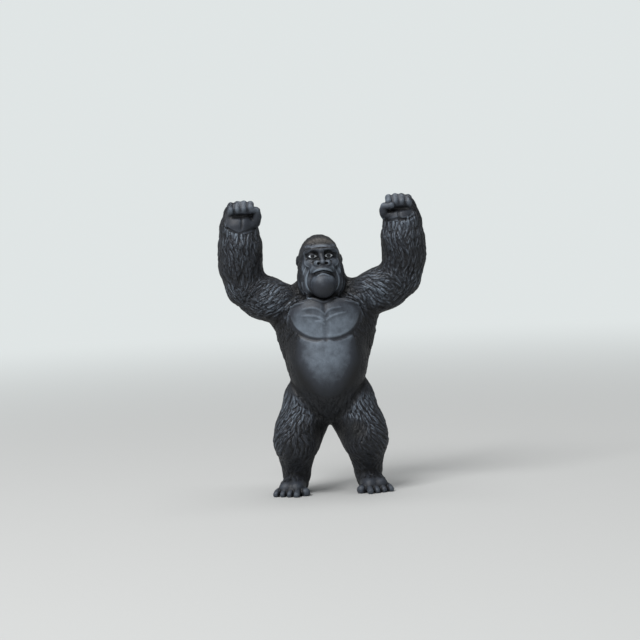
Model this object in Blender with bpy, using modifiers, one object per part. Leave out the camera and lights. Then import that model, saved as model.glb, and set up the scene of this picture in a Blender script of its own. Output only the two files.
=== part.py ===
"""A small cast gorilla figurine, standing upright with both forearms raised and both fists closed.

The casting is one solid. It is built the way a sculptor blocks out a figure. Balls and tapered limbs are fused and
smoothed into one body, the small forms of the chest, face, fists and feet are added and fused again, the nostrils
and the mouth are cut, and the coat is raised in locks that follow the lie of the hair. The soles are cut flat at
the end.

Frame: +Z up, the gorilla faces -Y, and +X is its left side. The origin is on the floor, under the middle of the
body. Sizes are in millimetres, and MM turns them into metres.
"""

import math

import bmesh
import bpy
import numpy as np
from mathutils import Euler, Matrix, Vector
from mathutils.kdtree import KDTree

MM = 0.001
ROUND = Vector((1.0, 1.0, 1.0))

# Skeleton, for the gorilla's left side. Each joint hangs on the one before it.
ANKLE = Vector((8.1, 0.5, 4.0))
ANKLE_TO_KNEE = Vector((-0.3, -3.3, 7.6))
KNEE_TO_HIP = Vector((-2.7, 3.0, 9.6))
HIP_TO_CHEST = Vector((0.0, -0.6, 17.0))
CHEST_TO_NECK = Vector((0.0, 1.2, 9.6))
NECK_TO_HEAD = Vector((0.0, -3.0, 4.2))
CHEST_TO_SHOULDER = Vector((8.4, 1.4, 5.0))
SHOULDER_TO_ELBOW = Vector((9.1, -1.9, 4.7))
ELBOW_TO_WRIST = Vector((0.7, -0.9, 12.9))
WRIST_TO_FIST = Vector((-0.6, -0.5, 2.4))
RIGHT_SHOULDER_DROP = 1.2
RIGHT_ELBOW_DROP = 0.6

# Thickness of the limbs, as radii
ANKLE_RADIUS = 3.1
CALF_RADIUS = 4.0
KNEE_RADIUS = 4.7
THIGH_RADIUS = 5.2
SHOULDER_RADIUS = 4.6
UPPER_ARM_RADIUS = 4.8
ELBOW_RADIUS = 4.3
FOREARM_RADIUS = 5.0
WRIST_RADIUS = 4.1
NECK_RADIUS = 5.4

# Trunk masses, as half sizes in X, Y and Z
PELVIS_SIZE = Vector((8.0, 6.2, 6.2))
BELLY_SIZE = Vector((9.0, 6.9, 10.2))
RIBCAGE_SIZE = Vector((10.6, 7.4, 9.0))
BACK_SIZE = Vector((9.6, 5.4, 8.4))
PECTORAL_SIZE = Vector((5.3, 2.0, 4.8))
BUTTOCK_SIZE = Vector((4.6, 4.0, 4.8))

# Head masses, as half sizes in X, Y and Z
SKULL_SIZE = Vector((4.8, 5.2, 5.2))
CREST_SIZE = Vector((3.6, 4.3, 3.7))
CHEEK_SIZE = Vector((2.7, 3.7, 4.8))
MUZZLE_SIZE = Vector((2.8, 2.4, 2.1))
CHIN_SIZE = Vector((2.9, 2.6, 3.0))
FOLD_RADIUS = 0.5
COLLAR_RADIUS = 0.75
EYE_RADIUS = 0.9
EYE_SPACING = 3.6
BROW_RADIUS = 0.85
EAR_SIZE = Vector((0.8, 1.1, 1.7))
NOSTRIL_RADIUS = 0.45
LIP_GROOVE_RADIUS = 0.3
MOUTH_WIDTH = 4.8
MOUTH_DROOP = 1.0
HEAD_TURN_DEG = 5.5
HEAD_SHIFT = -0.55

# Fists
FINGER_RADIUS = 0.84
FINGER_PITCH = 1.5
THUMB_RADIUS = 1.05
PALM_SIZE = Vector((3.3, 2.3, 3.2))
PALM_HOLLOW_SIZE = Vector((2.3, 1.3, 0.8))

# Feet
HEEL_RADIUS = 2.4
HEEL_TO_BALL = 6.2
BALL_OF_FOOT_RADIUS = 1.7
FOOT_HALF_WIDTH = 2.2
TOE_LENGTH = 3.0
TOE_RADIUS = 0.8
BIG_TOE_RADIUS = 1.05
TOE_OUT_DEG = 12.0
SOLE_CUT = 0.3

# Coat
LOCK_HEIGHT = 0.6
LOCK_LENGTH = 4.8
LOCK_WIDTH = 1.8
LOCK_SPACING = 1.45
SEED = 7

# Fineness of the two remeshes and of the finished casting
COARSE_VOXEL = 0.55
FINE_VOXEL = 0.36
CASTING_TRIANGLES = 11400
FINE_AREA_WEIGHT = 0.25


def sided(side, offset):
    """The offset for the left side (1) or, mirrored, for the right side (-1)."""
    return Vector((side * offset.x, offset.y, offset.z))


def joints(side):
    """The places of the joints of one side of the body. The right upper arm hangs a little lower."""
    ankle = ANKLE
    knee = ankle + ANKLE_TO_KNEE
    hip = knee + KNEE_TO_HIP
    chest = Vector((0.0, hip.y, hip.z)) + HIP_TO_CHEST
    neck = chest + CHEST_TO_NECK
    head = neck + NECK_TO_HEAD
    shoulder = chest + CHEST_TO_SHOULDER
    elbow = shoulder + SHOULDER_TO_ELBOW
    wrist = elbow + ELBOW_TO_WRIST
    fist = wrist + WRIST_TO_FIST
    if side == -1:
        shoulder = shoulder - Vector((0.0, 0.0, RIGHT_SHOULDER_DROP))
        elbow = elbow - Vector((0.0, 0.0, RIGHT_ELBOW_DROP))
    places = {
        "ankle": ankle,
        "knee": knee,
        "hip": hip,
        "chest": chest,
        "neck": neck,
        "head": head,
        "shoulder": shoulder,
        "elbow": elbow,
        "wrist": wrist,
        "fist": fist,
    }
    return {name: sided(side, place) for name, place in places.items()}


def on_head(x, y, z):
    """A point of the head, from its middle. The head is moved a little to its right and turned a little left."""
    middle = joints(1)["head"] + Vector((HEAD_SHIFT, 0.0, 0.0))
    return middle + Matrix.Rotation(math.radians(HEAD_TURN_DEG), 3, "Z") @ Vector((x, y, z))


def add_shape(clay, shape):
    """Adds the shape to the clay. Frees the shape."""
    mesh = bpy.data.meshes.new("shape")
    shape.to_mesh(mesh)
    shape.free()
    clay.from_mesh(mesh)
    bpy.data.meshes.remove(mesh)


def egg(centre, size, turn=(0.0, 0.0, 0.0)):
    """An egg of these half sizes, turned by these degrees about X, Y and Z."""
    shape = bmesh.new()
    angles = Euler([math.radians(angle) for angle in turn])
    place = Matrix.LocRotScale(centre, angles, size)
    bmesh.ops.create_uvsphere(shape, u_segments=28, v_segments=18, radius=1.0, matrix=place)
    return shape


def ball(clay, centre, size, turn=(0.0, 0.0, 0.0)):
    """Adds an egg to the clay."""
    add_shape(clay, egg(centre, size, turn))


def limb(clay, start, start_radius, end, end_radius):
    """Adds a tapered limb with round ends, the hull of two balls."""
    hull = egg(start, start_radius * ROUND)
    add_shape(hull, egg(end, end_radius * ROUND))
    made = bmesh.ops.convex_hull(hull, input=hull.verts)
    loose = {v for v in made["geom_interior"] + made["geom_unused"] if isinstance(v, bmesh.types.BMVert)}
    bmesh.ops.delete(hull, geom=list(loose), context="VERTS")
    add_shape(clay, hull)


def chain(clay, points, radii):
    """Adds a run of limbs through the points."""
    for start, end, start_radius, end_radius in zip(points, points[1:], radii, radii[1:]):
        limb(clay, start, start_radius, end, end_radius)


def model_trunk(clay):
    """The pelvis, belly, ribcage, back, neck and the two buttocks."""
    at = joints(1)
    middle = Vector((0.0, at["hip"].y, at["hip"].z))
    ball(clay, middle + Vector((0.0, 0.3, 0.0)), PELVIS_SIZE)
    ball(clay, middle + Vector((0.0, -2.2, 8.2)), BELLY_SIZE)
    ball(clay, at["chest"] + Vector((0.0, 0.1, -0.6)), RIBCAGE_SIZE)
    ball(clay, at["chest"] + Vector((0.0, 3.9, 3.2)), BACK_SIZE, (-12.0, 0.0, 0.0))
    limb(clay, at["neck"], NECK_RADIUS, at["head"] + Vector((0.0, 1.8, -1.2)), NECK_RADIUS - 1.2)
    for side in (1, -1):
        at = joints(side)
        ball(clay, middle + sided(side, Vector((4.2, 3.0, -1.0))), BUTTOCK_SIZE)
        flank_top = at["chest"] + sided(side, Vector((8.3, 1.8, 0.6)))
        flank_foot = at["chest"] + sided(side, Vector((6.6, 1.4, -9.0)))
        limb(clay, flank_top, 3.6, flank_foot, 2.6)
        nape = at["neck"] + sided(side, Vector((3.0, 1.6, -3.4)))
        limb(clay, nape, 3.2, at["shoulder"] + sided(side, Vector((-0.4, 0.2, 0.4))), 4.0)


def model_limbs(clay):
    """The arms and legs, without hands and feet."""
    for side in (1, -1):
        at = joints(side)
        limb(clay, at["hip"], THIGH_RADIUS, at["knee"], KNEE_RADIUS)
        outer_thigh = at["knee"].lerp(at["hip"], 0.22) + sided(side, Vector((0.7, 0.8, 0.0)))
        ball(clay, outer_thigh, Vector((4.7, 4.9, 5.4)))
        calf = at["knee"].lerp(at["ankle"], 0.45) + Vector((0.0, 0.8, 0.0))
        chain(clay, [at["knee"], calf, at["ankle"]], [KNEE_RADIUS, CALF_RADIUS, ANKLE_RADIUS])
        limb(clay, at["shoulder"], SHOULDER_RADIUS, at["elbow"], ELBOW_RADIUS)
        biceps = at["shoulder"].lerp(at["elbow"], 0.5) + Vector((0.0, -0.6, -0.4))
        ball(clay, biceps, Vector((6.0, UPPER_ARM_RADIUS, UPPER_ARM_RADIUS)))
        low_forearm = at["elbow"].lerp(at["wrist"], 0.36) + sided(side, Vector((0.7, 0.0, 0.0)))
        top_forearm = at["elbow"].lerp(at["wrist"], 0.68) + sided(side, Vector((0.3, 0.0, 0.0)))
        radii = [ELBOW_RADIUS, FOREARM_RADIUS, FOREARM_RADIUS, WRIST_RADIUS]
        chain(clay, [at["elbow"], low_forearm, top_forearm, at["wrist"]], radii)
        back_of_hand = at["fist"] + sided(side, Vector((1.2, 1.1, 0.2)))
        limb(clay, at["wrist"] + sided(side, Vector((0.4, 0.3, 0.0))), WRIST_RADIUS, back_of_hand, 2.9)


def model_skull(clay):
    """The skull, crest, jaw and cheeks: the large masses of the head."""
    ball(clay, on_head(0.0, 1.4, 0.4), SKULL_SIZE)
    ball(clay, on_head(0.0, 1.6, 2.3), CREST_SIZE, (18.0, 0.0, 0.0))
    ball(clay, on_head(0.0, -1.6, 2.0), Vector((3.9, 2.5, 2.4)))
    ball(clay, on_head(0.0, -1.2, -4.6), Vector((4.4, 3.9, 3.8)))
    for side in (1, -1):
        ball(clay, on_head(side * 2.4, -0.4, -3.2), CHEEK_SIZE)


def model_chest(clay):
    """The two pectorals, which lie on the ribcage like one broad shield."""
    for side in (1, -1):
        chest = joints(side)["chest"]
        ball(clay, chest + sided(side, Vector((2.9, -5.6, 0.9))), PECTORAL_SIZE, (6.0, 0.0, side * 12.0))


def model_face(clay):
    """The brow, eyeballs, nose, muzzle, chin and ears."""
    ball(clay, on_head(0.0, -4.3, -1.5), MUZZLE_SIZE)
    ball(clay, on_head(0.0, -4.6, -4.8), CHIN_SIZE)
    limb(clay, on_head(0.0, -4.2, 2.4), 0.8, on_head(0.0, -5.5, 0.9), 0.7)
    ball(clay, on_head(0.0, -6.0, 0.4), Vector((0.7, 0.7, 0.7)))
    for side in (1, -1):
        brow_end = on_head(side * 3.3, -3.2, 2.3)
        limb(clay, on_head(0.0, -4.6, 2.6), BROW_RADIUS, brow_end, BROW_RADIUS)
        ball(clay, on_head(side * EYE_SPACING / 2, -3.5, 1.6), EYE_RADIUS * ROUND)
        cheekbone = on_head(side * 3.4, -3.1, 1.0)
        chain(clay, [brow_end, cheekbone, on_head(side * 2.3, -4.1, -0.3)], [0.7, 0.65, 0.6])
        ball(clay, on_head(side * 0.95, -5.6, 0.15), Vector((0.95, 1.0, 0.85)))
        ball(clay, on_head(side * 4.3, 1.2, 0.4), EAR_SIZE, (-10.0, 0.0, -20.0 * side))
    model_face_folds(clay)


def model_face_folds(clay):
    """The folds of the bare skin: two down each cheek, the upper lip, and the collar below the chin."""
    for side in (1, -1):
        inner_fold = [
            on_head(side * 2.7, -4.0, -1.0),
            on_head(side * 3.6, -3.75, -2.8),
            on_head(side * 3.5, -3.6, -4.8),
            on_head(side * 2.5, -3.6, -6.4),
        ]
        chain(clay, inner_fold, [FOLD_RADIUS * 0.8, FOLD_RADIUS, FOLD_RADIUS, FOLD_RADIUS * 0.7])
        outer_fold = [
            on_head(side * 4.0, -2.5, -1.2),
            on_head(side * 4.7, -2.3, -3.6),
            on_head(side * 3.6, -2.6, -6.2),
        ]
        chain(clay, outer_fold, [FOLD_RADIUS * 0.8, FOLD_RADIUS, FOLD_RADIUS * 0.7])
        chain(clay, [on_head(0.0, -6.0, -1.25), on_head(side * 1.8, -5.5, -1.9)], [FOLD_RADIUS, FOLD_RADIUS * 0.8])
        collar_end = on_head(side * 4.1, -2.4, -7.3)
        chain(clay, [on_head(0.0, -3.7, -8.3), collar_end], [COLLAR_RADIUS, COLLAR_RADIUS * 0.7])


def model_fist(clay, side):
    """A closed fist, palm to the front: four curled fingers over the palm, and the thumb on the inner side."""
    fist = joints(side)["fist"]
    ball(clay, fist + Vector((0.0, 0.2, -0.4)), PALM_SIZE)
    ball(clay, fist + sided(side, Vector((-1.6, -1.5, -2.2))), Vector((1.7, 1.3, 1.4)))
    ball(clay, fist + sided(side, Vector((1.7, -1.3, -2.2))), Vector((1.6, 1.3, 1.5)))
    for finger in range(4):
        across = (finger - 1.5) * FINGER_PITCH
        drop = 0.16 * abs(finger - 1.3)
        root = fist + sided(side, Vector((across, 1.0, 2.4 - drop)))
        knuckle = fist + sided(side, Vector((across, -1.9, 2.8 - drop)))
        bend = fist + sided(side, Vector((across, -2.8, 1.7 - drop)))
        tip = fist + sided(side, Vector((across, -2.0, 1.1 - drop)))
        radii = [FINGER_RADIUS, FINGER_RADIUS, FINGER_RADIUS * 0.95, FINGER_RADIUS * 0.85]
        chain(clay, [root, knuckle, bend, tip], radii)
    thumb_root = fist + sided(side, Vector((-2.6, -1.4, -1.9)))
    thumb_joint = fist + sided(side, Vector((-3.3, -2.3, -0.3)))
    thumb_tip = fist + sided(side, Vector((-2.5, -3.2, 0.6)))
    chain(clay, [thumb_root, thumb_joint, thumb_tip], [THUMB_RADIUS * 1.15, THUMB_RADIUS, THUMB_RADIUS * 0.95])


def model_foot(clay, side):
    """A flat foot with four toes in front and the big toe set apart on the inner side."""
    at = joints(side)
    turn = Matrix.Rotation(math.radians(side * TOE_OUT_DEG), 3, "Z")

    def on_foot(across, forward, height):
        """A point of the foot, from the middle of the heel."""
        return heel + turn @ Vector((side * across, -forward, height - heel.z))

    heel = Vector((at["ankle"].x, at["ankle"].y + 1.2, HEEL_RADIUS - SOLE_CUT))
    ball_height = BALL_OF_FOOT_RADIUS - SOLE_CUT
    limb(clay, at["ankle"], ANKLE_RADIUS, heel, HEEL_RADIUS)
    for across in (-FOOT_HALF_WIDTH / 2, FOOT_HALF_WIDTH / 2):
        pad = on_foot(across, HEEL_TO_BALL, ball_height)
        limb(clay, heel, HEEL_RADIUS, pad, BALL_OF_FOOT_RADIUS)
        limb(clay, at["ankle"] + Vector((0.0, -0.8, -0.6)), ANKLE_RADIUS - 0.7, pad, BALL_OF_FOOT_RADIUS)
    toe_height = TOE_RADIUS - SOLE_CUT
    for toe in range(4):
        across = (toe / 3 - 0.36) * 2 * FOOT_HALF_WIDTH
        length = TOE_LENGTH - 0.35 * toe
        root = on_foot(across, HEEL_TO_BALL, toe_height + 0.5)
        tip = on_foot(across * 1.12, HEEL_TO_BALL + length, toe_height)
        limb(clay, root, TOE_RADIUS, tip, TOE_RADIUS)
    big_root = on_foot(-FOOT_HALF_WIDTH * 0.6, HEEL_TO_BALL - 2.0, BIG_TOE_RADIUS - SOLE_CUT + 0.2)
    big_tip = on_foot(-FOOT_HALF_WIDTH * 1.55, HEEL_TO_BALL + 1.0, BIG_TOE_RADIUS - SOLE_CUT)
    limb(clay, big_root, BIG_TOE_RADIUS * 1.1, big_tip, BIG_TOE_RADIUS)


def finished_mesh(thing):
    """The object's mesh with its modifiers applied."""
    bpy.context.view_layer.update()
    graph = bpy.context.evaluated_depsgraph_get()
    return bpy.data.meshes.new_from_object(thing.evaluated_get(graph), depsgraph=graph)


def object_of(name, clay, collection):
    """A new object in the collection that holds the clay. Frees the clay."""
    mesh = bpy.data.meshes.new(name)
    clay.to_mesh(mesh)
    clay.free()
    thing = bpy.data.objects.new(name, mesh)
    collection.objects.link(thing)
    return thing


def clay_of(mesh):
    """The mesh as clay, so that more shapes can be added. Removes the mesh."""
    clay = bmesh.new()
    clay.from_mesh(mesh)
    bpy.data.meshes.remove(mesh)
    return clay


def add_fuse(thing, voxel, smoothing):
    """Adds the modifiers that fuse overlapping shapes into one skin and soften it."""
    remesh = thing.modifiers.new("fuse", "REMESH")
    remesh.mode = "VOXEL"
    remesh.voxel_size = voxel
    smooth = thing.modifiers.new("soften", "SMOOTH")
    smooth.factor = 0.5
    smooth.iterations = smoothing


def add_cut(thing, cutter):
    """Adds a Boolean modifier that cuts the cutter out of the thing."""
    cut = thing.modifiers.new("cut " + cutter.name, "BOOLEAN")
    cut.operation = "DIFFERENCE"
    cut.solver = "EXACT"
    cut.object = cutter


def fused(clay, voxel, smoothing):
    """The clay fused into one skin. Frees the clay it is given."""
    thing = object_of("clay", clay, bpy.context.scene.collection)
    add_fuse(thing, voxel, smoothing)
    mesh = finished_mesh(thing)
    bpy.data.objects.remove(thing)
    return clay_of(mesh)


def lie_of_hair():
    """Places on the body and the way the hair lies there, for both sides."""
    samples = []
    for side in (1, -1):
        at = joints(side)
        down = Vector((0.0, 0.0, -1.0))
        along_upper_arm = (at["elbow"] - at["shoulder"]).normalized()
        along_thigh = (at["knee"] - at["hip"]).normalized()
        along_shin = (at["ankle"] - at["knee"]).normalized()
        samples += [
            (at["wrist"], down),
            (at["elbow"].lerp(at["wrist"], 0.5), down),
            (at["elbow"] + Vector((0.0, 0.0, 2.5)), down + sided(side, Vector((-0.25, 0.0, 0.0)))),
            (at["elbow"] + sided(side, Vector((2.0, 0.0, -2.5))), down + sided(side, Vector((-0.8, 0.0, 0.0)))),
            (at["shoulder"].lerp(at["elbow"], 0.6), along_upper_arm),
            (at["shoulder"], along_upper_arm),
            (at["chest"] + sided(side, Vector((9.0, 0.0, -1.0))), down + sided(side, Vector((0.5, 0.3, 0.0)))),
            (at["chest"] + sided(side, Vector((7.0, 2.0, -9.0))), down),
            (at["chest"] + sided(side, Vector((4.0, 7.0, 4.0))), down),
            (at["chest"] + sided(side, Vector((3.0, 7.0, -8.0))), down),
            (at["hip"] + sided(side, Vector((0.0, 4.0, 0.0))), down),
            (at["hip"], along_thigh + sided(side, Vector((0.5, 0.0, 0.0)))),
            (at["knee"] + Vector((0.0, 0.0, 3.0)), along_thigh + sided(side, Vector((0.5, 0.0, 0.0)))),
            (at["knee"], along_shin),
            (at["ankle"], down),
            (at["head"] + sided(side, Vector((2.0, 0.0, 5.0))), Vector((0.0, 1.0, 0.0))),
            (at["head"] + sided(side, Vector((4.0, 3.0, 1.0))), Vector((0.0, 1.0, -0.8))),
            (at["head"] + sided(side, Vector((5.0, -1.0, -3.0))), Vector((0.0, 0.6, -1.0))),
            (at["neck"] + sided(side, Vector((3.0, 4.0, 2.0))), down + sided(side, Vector((0.3, 0.0, 0.0)))),
        ]
    return samples


def bare_patches():
    """Eggs, as (centre, half sizes), that hold the parts of the skin with no coat."""
    head = joints(1)["head"]
    chest = joints(1)["chest"]
    patches = [
        (chest + Vector((0.0, -8.0, 0.9)), Vector((8.2, 6.4, 5.6))),
        (chest + Vector((0.0, -9.0, -8.6)), Vector((7.6, 8.0, 9.0))),
        (head + Vector((0.0, -5.6, -0.9)), Vector((4.6, 4.6, 4.6))),
        (head + Vector((0.0, -5.0, -4.6)), Vector((3.6, 4.0, 4.2))),
    ]
    for side in (1, -1):
        at = joints(side)
        patches += [
            (at["fist"] + sided(side, Vector((-0.6, -2.4, 0.2))), Vector((4.3, 4.2, 4.4))),
            (Vector((at["ankle"].x, at["ankle"].y - 7.5, 0.6)), Vector((6.0, 6.6, 2.6))),
        ]
    return patches


def coat_share(points):
    """For each point, 1 where the coat is full and 0 on bare skin."""
    share = np.ones(len(points))
    for centre, size in bare_patches():
        reach = np.linalg.norm((points - np.array(centre)) / np.array(size), axis=1)
        share = np.minimum(share, np.clip((reach - 1.0) / 0.12, 0.0, 1.0))
    return share


def raise_coat(mesh):
    """Raises the coat in locks: each is a low ridge, thin at its root and proud at its tip, laid like a shingle."""
    count = len(mesh.vertices)
    points = np.empty(count * 3)
    mesh.vertices.foreach_get("co", points)
    points = points.reshape(-1, 3)
    normals = np.empty(count * 3)
    mesh.vertices.foreach_get("normal", normals)
    normals = normals.reshape(-1, 3)
    samples = lie_of_hair()
    places = np.array([place for place, _ in samples])
    ways = np.array([way.normalized() for _, way in samples])
    share = coat_share(points)
    height = np.zeros(count)
    tree = KDTree(count)
    for index, point in enumerate(points):
        tree.insert(point, index)
    tree.balance()
    chance = np.random.default_rng(SEED)
    covered = np.zeros(count, bool)
    for root in chance.permutation(np.flatnonzero(share > 0.5)):
        if covered[root]:
            continue
        origin, normal = points[root], normals[root]
        near = np.array([index for _, index, _ in tree.find_range(origin, LOCK_LENGTH)])
        offset = points[near] - origin
        reach = np.linalg.norm(offset, axis=1)
        covered[near[reach < LOCK_SPACING]] = True
        pull = 1.0 / (np.linalg.norm(places - origin, axis=1) ** 4 + 0.1)
        way = pull @ ways + np.linalg.norm(pull) * chance.normal(0.0, 0.16, 3)
        way -= (way @ normal) * normal
        way /= np.linalg.norm(way)
        across = np.cross(normal, way)
        along = offset @ way / LOCK_LENGTH
        width = LOCK_WIDTH / 2 * np.sqrt(np.clip(1.0 - along**3, 0.0, 1.0))
        aside = (offset @ across) / np.maximum(width, 0.05)
        inside = (along > 0) & (along < 1) & (np.abs(aside) < 1) & (np.abs(offset @ normal) < LOCK_WIDTH)
        ridge = (1.0 - aside**2) * (0.25 + 0.75 * along) * np.clip((1.0 - along) / 0.15, 0.0, 1.0)
        height[near] = np.maximum(height[near], np.where(inside, ridge, 0.0))
    points += normals * (share * (height - 0.35) * LOCK_HEIGHT)[:, None]
    mesh.vertices.foreach_set("co", points.ravel())
    mesh.update()


def hollow_cutters():
    """The hollows, as (name, clay): two nostrils, the line of the mouth, and one below the fingers of each fist."""
    cutters = []
    for side, name in ((1, "left"), (-1, "right")):
        size = Vector((NOSTRIL_RADIUS, NOSTRIL_RADIUS * 1.6, NOSTRIL_RADIUS))
        cutters.append(("nostril_" + name, egg(on_head(side * 0.85, -6.8, 0.05), size)))
        palm = joints(side)["fist"] + sided(side, Vector((0.0, -2.9, -0.2)))
        cutters.append(("palm_" + name, egg(palm, PALM_HOLLOW_SIZE)))
    mouth = bmesh.new()
    lip_points = []
    steps = 8
    for step in range(steps + 1):
        share = 2.0 * step / steps - 1.0
        droop = MOUTH_DROOP * share**2
        lip_points.append(on_head(share * MOUTH_WIDTH / 2, 1.5 * share**2 - 6.75, -1.8 - droop))
    chain(mouth, lip_points, [LIP_GROOVE_RADIUS] * len(lip_points))
    cutters.append(("mouth", fused(mouth, LIP_GROOVE_RADIUS / 2.5, 0)))
    return cutters


def floor_block():
    """A block below the floor plane, which cuts the soles flat."""
    block = bmesh.new()
    place = Matrix.LocRotScale(Vector((0.0, 0.0, -10.0)), None, Vector((80.0, 80.0, 20.0)))
    bmesh.ops.create_cube(block, size=1.0, matrix=place)
    return block


def cutter_object(name, clay, helpers):
    """A cutter: an object that is neither built nor rendered."""
    thing = object_of(name, clay, helpers)
    thing.hide_render = True
    thing.display_type = "WIRE"
    return thing


def fine_areas(thing):
    """A vertex group that keeps the faces small on the head, the fists and the feet."""
    group = thing.vertex_groups.new(name="fine")
    head, fist = joints(1)["head"], joints(1)["fist"]
    for vertex in thing.data.vertices:
        x, y, z = vertex.co
        on_face = abs(x) < 5.0 and z > head.z - 8.5 and y < head.y + 0.5
        on_fist = z > fist.z - 2.0 and abs(x) > fist.x - 5.0
        on_toes = z < 2.6
        group.add([vertex.index], FINE_AREA_WEIGHT if on_face or on_fist or on_toes else 1.0, "REPLACE")
    return group


def plastic():
    """The material: matt black plastic with a blue-grey cast."""
    material = bpy.data.materials.new("black_plastic")
    material.use_nodes = True
    shader = material.node_tree.nodes["Principled BSDF"]
    shader.inputs["Base Color"].default_value = (0.035, 0.040, 0.048, 1.0)
    shader.inputs["Roughness"].default_value = 0.48
    shader.inputs["Metallic"].default_value = 0.0
    return material


def model_body(helpers):
    """The whole casting as one fine mesh with the hollows cut and the coat raised."""
    masses = bmesh.new()
    model_trunk(masses)
    model_limbs(masses)
    model_skull(masses)
    forms = fused(masses, COARSE_VOXEL, 14)
    model_chest(forms)
    model_face(forms)
    for side in (1, -1):
        model_fist(forms, side)
        model_foot(forms, side)
    body = object_of("body", fused(forms, FINE_VOXEL, 2), bpy.context.scene.collection)
    for name, clay in hollow_cutters():
        add_cut(body, cutter_object(name, clay, helpers))
    add_fuse(body, FINE_VOXEL, 0)
    mesh = finished_mesh(body)
    bpy.data.objects.remove(body)
    raise_coat(mesh)
    return mesh


def main():
    for thing in list(bpy.data.objects):
        bpy.data.objects.remove(thing)
    figure = bpy.data.collections.new("gorilla")
    helpers = bpy.data.collections.new("cutters")
    helpers.hide_render = True
    bpy.context.scene.collection.children.link(figure)
    bpy.context.scene.collection.children.link(helpers)

    fine = bpy.data.objects.new("fine_body", model_body(helpers))
    bpy.context.scene.collection.objects.link(fine)
    group = fine_areas(fine)
    thin = fine.modifiers.new("thin out", "DECIMATE")
    thin.ratio = CASTING_TRIANGLES / sum(len(polygon.vertices) - 2 for polygon in fine.data.polygons)
    thin.vertex_group = group.name
    add_cut(fine, cutter_object("floor", floor_block(), helpers))
    mesh = finished_mesh(fine)
    bpy.data.objects.remove(fine)

    mesh.transform(Matrix.Scale(MM, 4))
    mesh.materials.append(plastic())
    mesh.shade_smooth()
    figure.objects.link(bpy.data.objects.new("gorilla_figurine", mesh))
    for cutter in helpers.objects:
        cutter.data.transform(Matrix.Scale(MM, 4))


main()
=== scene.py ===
"""The looks of the cast gorilla figurine: its sculpted skin and coat, its paint with painted light and shade,
and a plain studio.

The figure is sculpted as a block of distances. Each point of a grid holds how far it is from the skin,
below zero inside. Eggs, limbs, folds and creases are blended into the block, the skin is drawn from it as
one closed mesh, and the coat is combed onto that mesh in locks that follow the lie of the hair. Sizes are
in millimetres until the mesh is made. The gorilla faces -Y, +X is its left side, and side is 1 on its
left and -1 on its right.
"""

import math

import bpy
import numpy as np
import openvdb
from mathutils import Euler, Matrix, Vector
from mathutils.kdtree import KDTree


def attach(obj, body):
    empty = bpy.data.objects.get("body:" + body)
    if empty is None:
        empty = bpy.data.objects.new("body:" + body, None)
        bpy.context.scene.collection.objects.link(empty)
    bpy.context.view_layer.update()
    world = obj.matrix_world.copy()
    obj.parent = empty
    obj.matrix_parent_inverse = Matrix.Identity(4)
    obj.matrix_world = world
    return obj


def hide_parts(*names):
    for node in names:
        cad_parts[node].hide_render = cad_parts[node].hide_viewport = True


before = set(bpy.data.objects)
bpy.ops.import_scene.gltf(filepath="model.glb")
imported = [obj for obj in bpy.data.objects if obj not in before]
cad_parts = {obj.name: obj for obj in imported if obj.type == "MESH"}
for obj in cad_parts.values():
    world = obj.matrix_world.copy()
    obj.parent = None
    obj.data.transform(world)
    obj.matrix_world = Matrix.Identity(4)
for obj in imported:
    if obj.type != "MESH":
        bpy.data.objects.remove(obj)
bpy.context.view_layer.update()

MM = 0.001
SEED = 11
NODE = "gorilla_figurine"
TRIANGLES = 195000

FAR = 3.0
FINE_STEP = 0.125
COARSE_STEP = 0.175
GRID_AXES = (
    (-25.0, 25.0, [(-21.8, -13.2), (-5.8, 5.4), (13.2, 21.8)]),
    (-10.4, 10.6, [(-10.4, -3.6)]),
    (-1.0, 68.0, [(43.0, 59.0), (60.0, 67.0)]),
)

# Skeleton, as in the part: places of the joints on the left side
ANKLE = np.array([8.1, 0.5, 4.0])
KNEE = np.array([7.8, -2.8, 11.6])
HIP = np.array([5.1, 0.2, 21.2])
CHEST = np.array([0.0, -0.4, 38.2])
NECK = np.array([0.0, 0.8, 47.8])
HEAD = np.array([-0.55, -2.2, 52.0])
SHOULDER = np.array([8.4, 1.0, 43.2])
ELBOW = np.array([17.5, -0.9, 47.9])
WRIST = np.array([18.2, -1.8, 60.8])
FIST = np.array([17.6, -2.3, 63.2])
HEAD_TURN_DEG = 5.5
RIGHT_SHOULDER_DROP = 1.2
RIGHT_ELBOW_DROP = 0.6

# Fingers and feet
FINGER_RADIUS = 0.8
FINGER_PITCH = 1.46
HEEL_RADIUS = 2.4
BALL_OF_FOOT_RADIUS = 1.7
HEEL_TO_BALL = 6.2
FOOT_HALF_WIDTH = 2.2
TOE_RADIUS = 0.8
BIG_TOE_RADIUS = 1.05
TOE_OUT_DEG = 12.0
SOLE_CUT = 0.3

# Eyes, in the head's frame
EYE = np.array([1.8, -3.2, 1.58])
EYE_SHIFT = -0.2
EYE_RADIUS = 1.05
EYE_WHITE = (0.92, 0.4)
PUPIL_RADIUS = 0.47

# Coat: the broad clumps and the fine locks that lie on them, as (length, width, spacing, height)
CLUMPS = (4.4, 1.9, 1.4, 0.3)
LOCKS = (3.2, 1.05, 0.72, 0.24)
LOCK_LEAN = 0.14
LOCK_STRETCH = 0.35
LOCK_REACH = 1.3
STRAND_PITCH = 0.38

# Dry brush: fine and broad forms, as (rounds of smoothing they are measured from, full height)
FINE_FORMS = (6, 0.05)
BROAD_FORMS = (40, 0.16)

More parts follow.
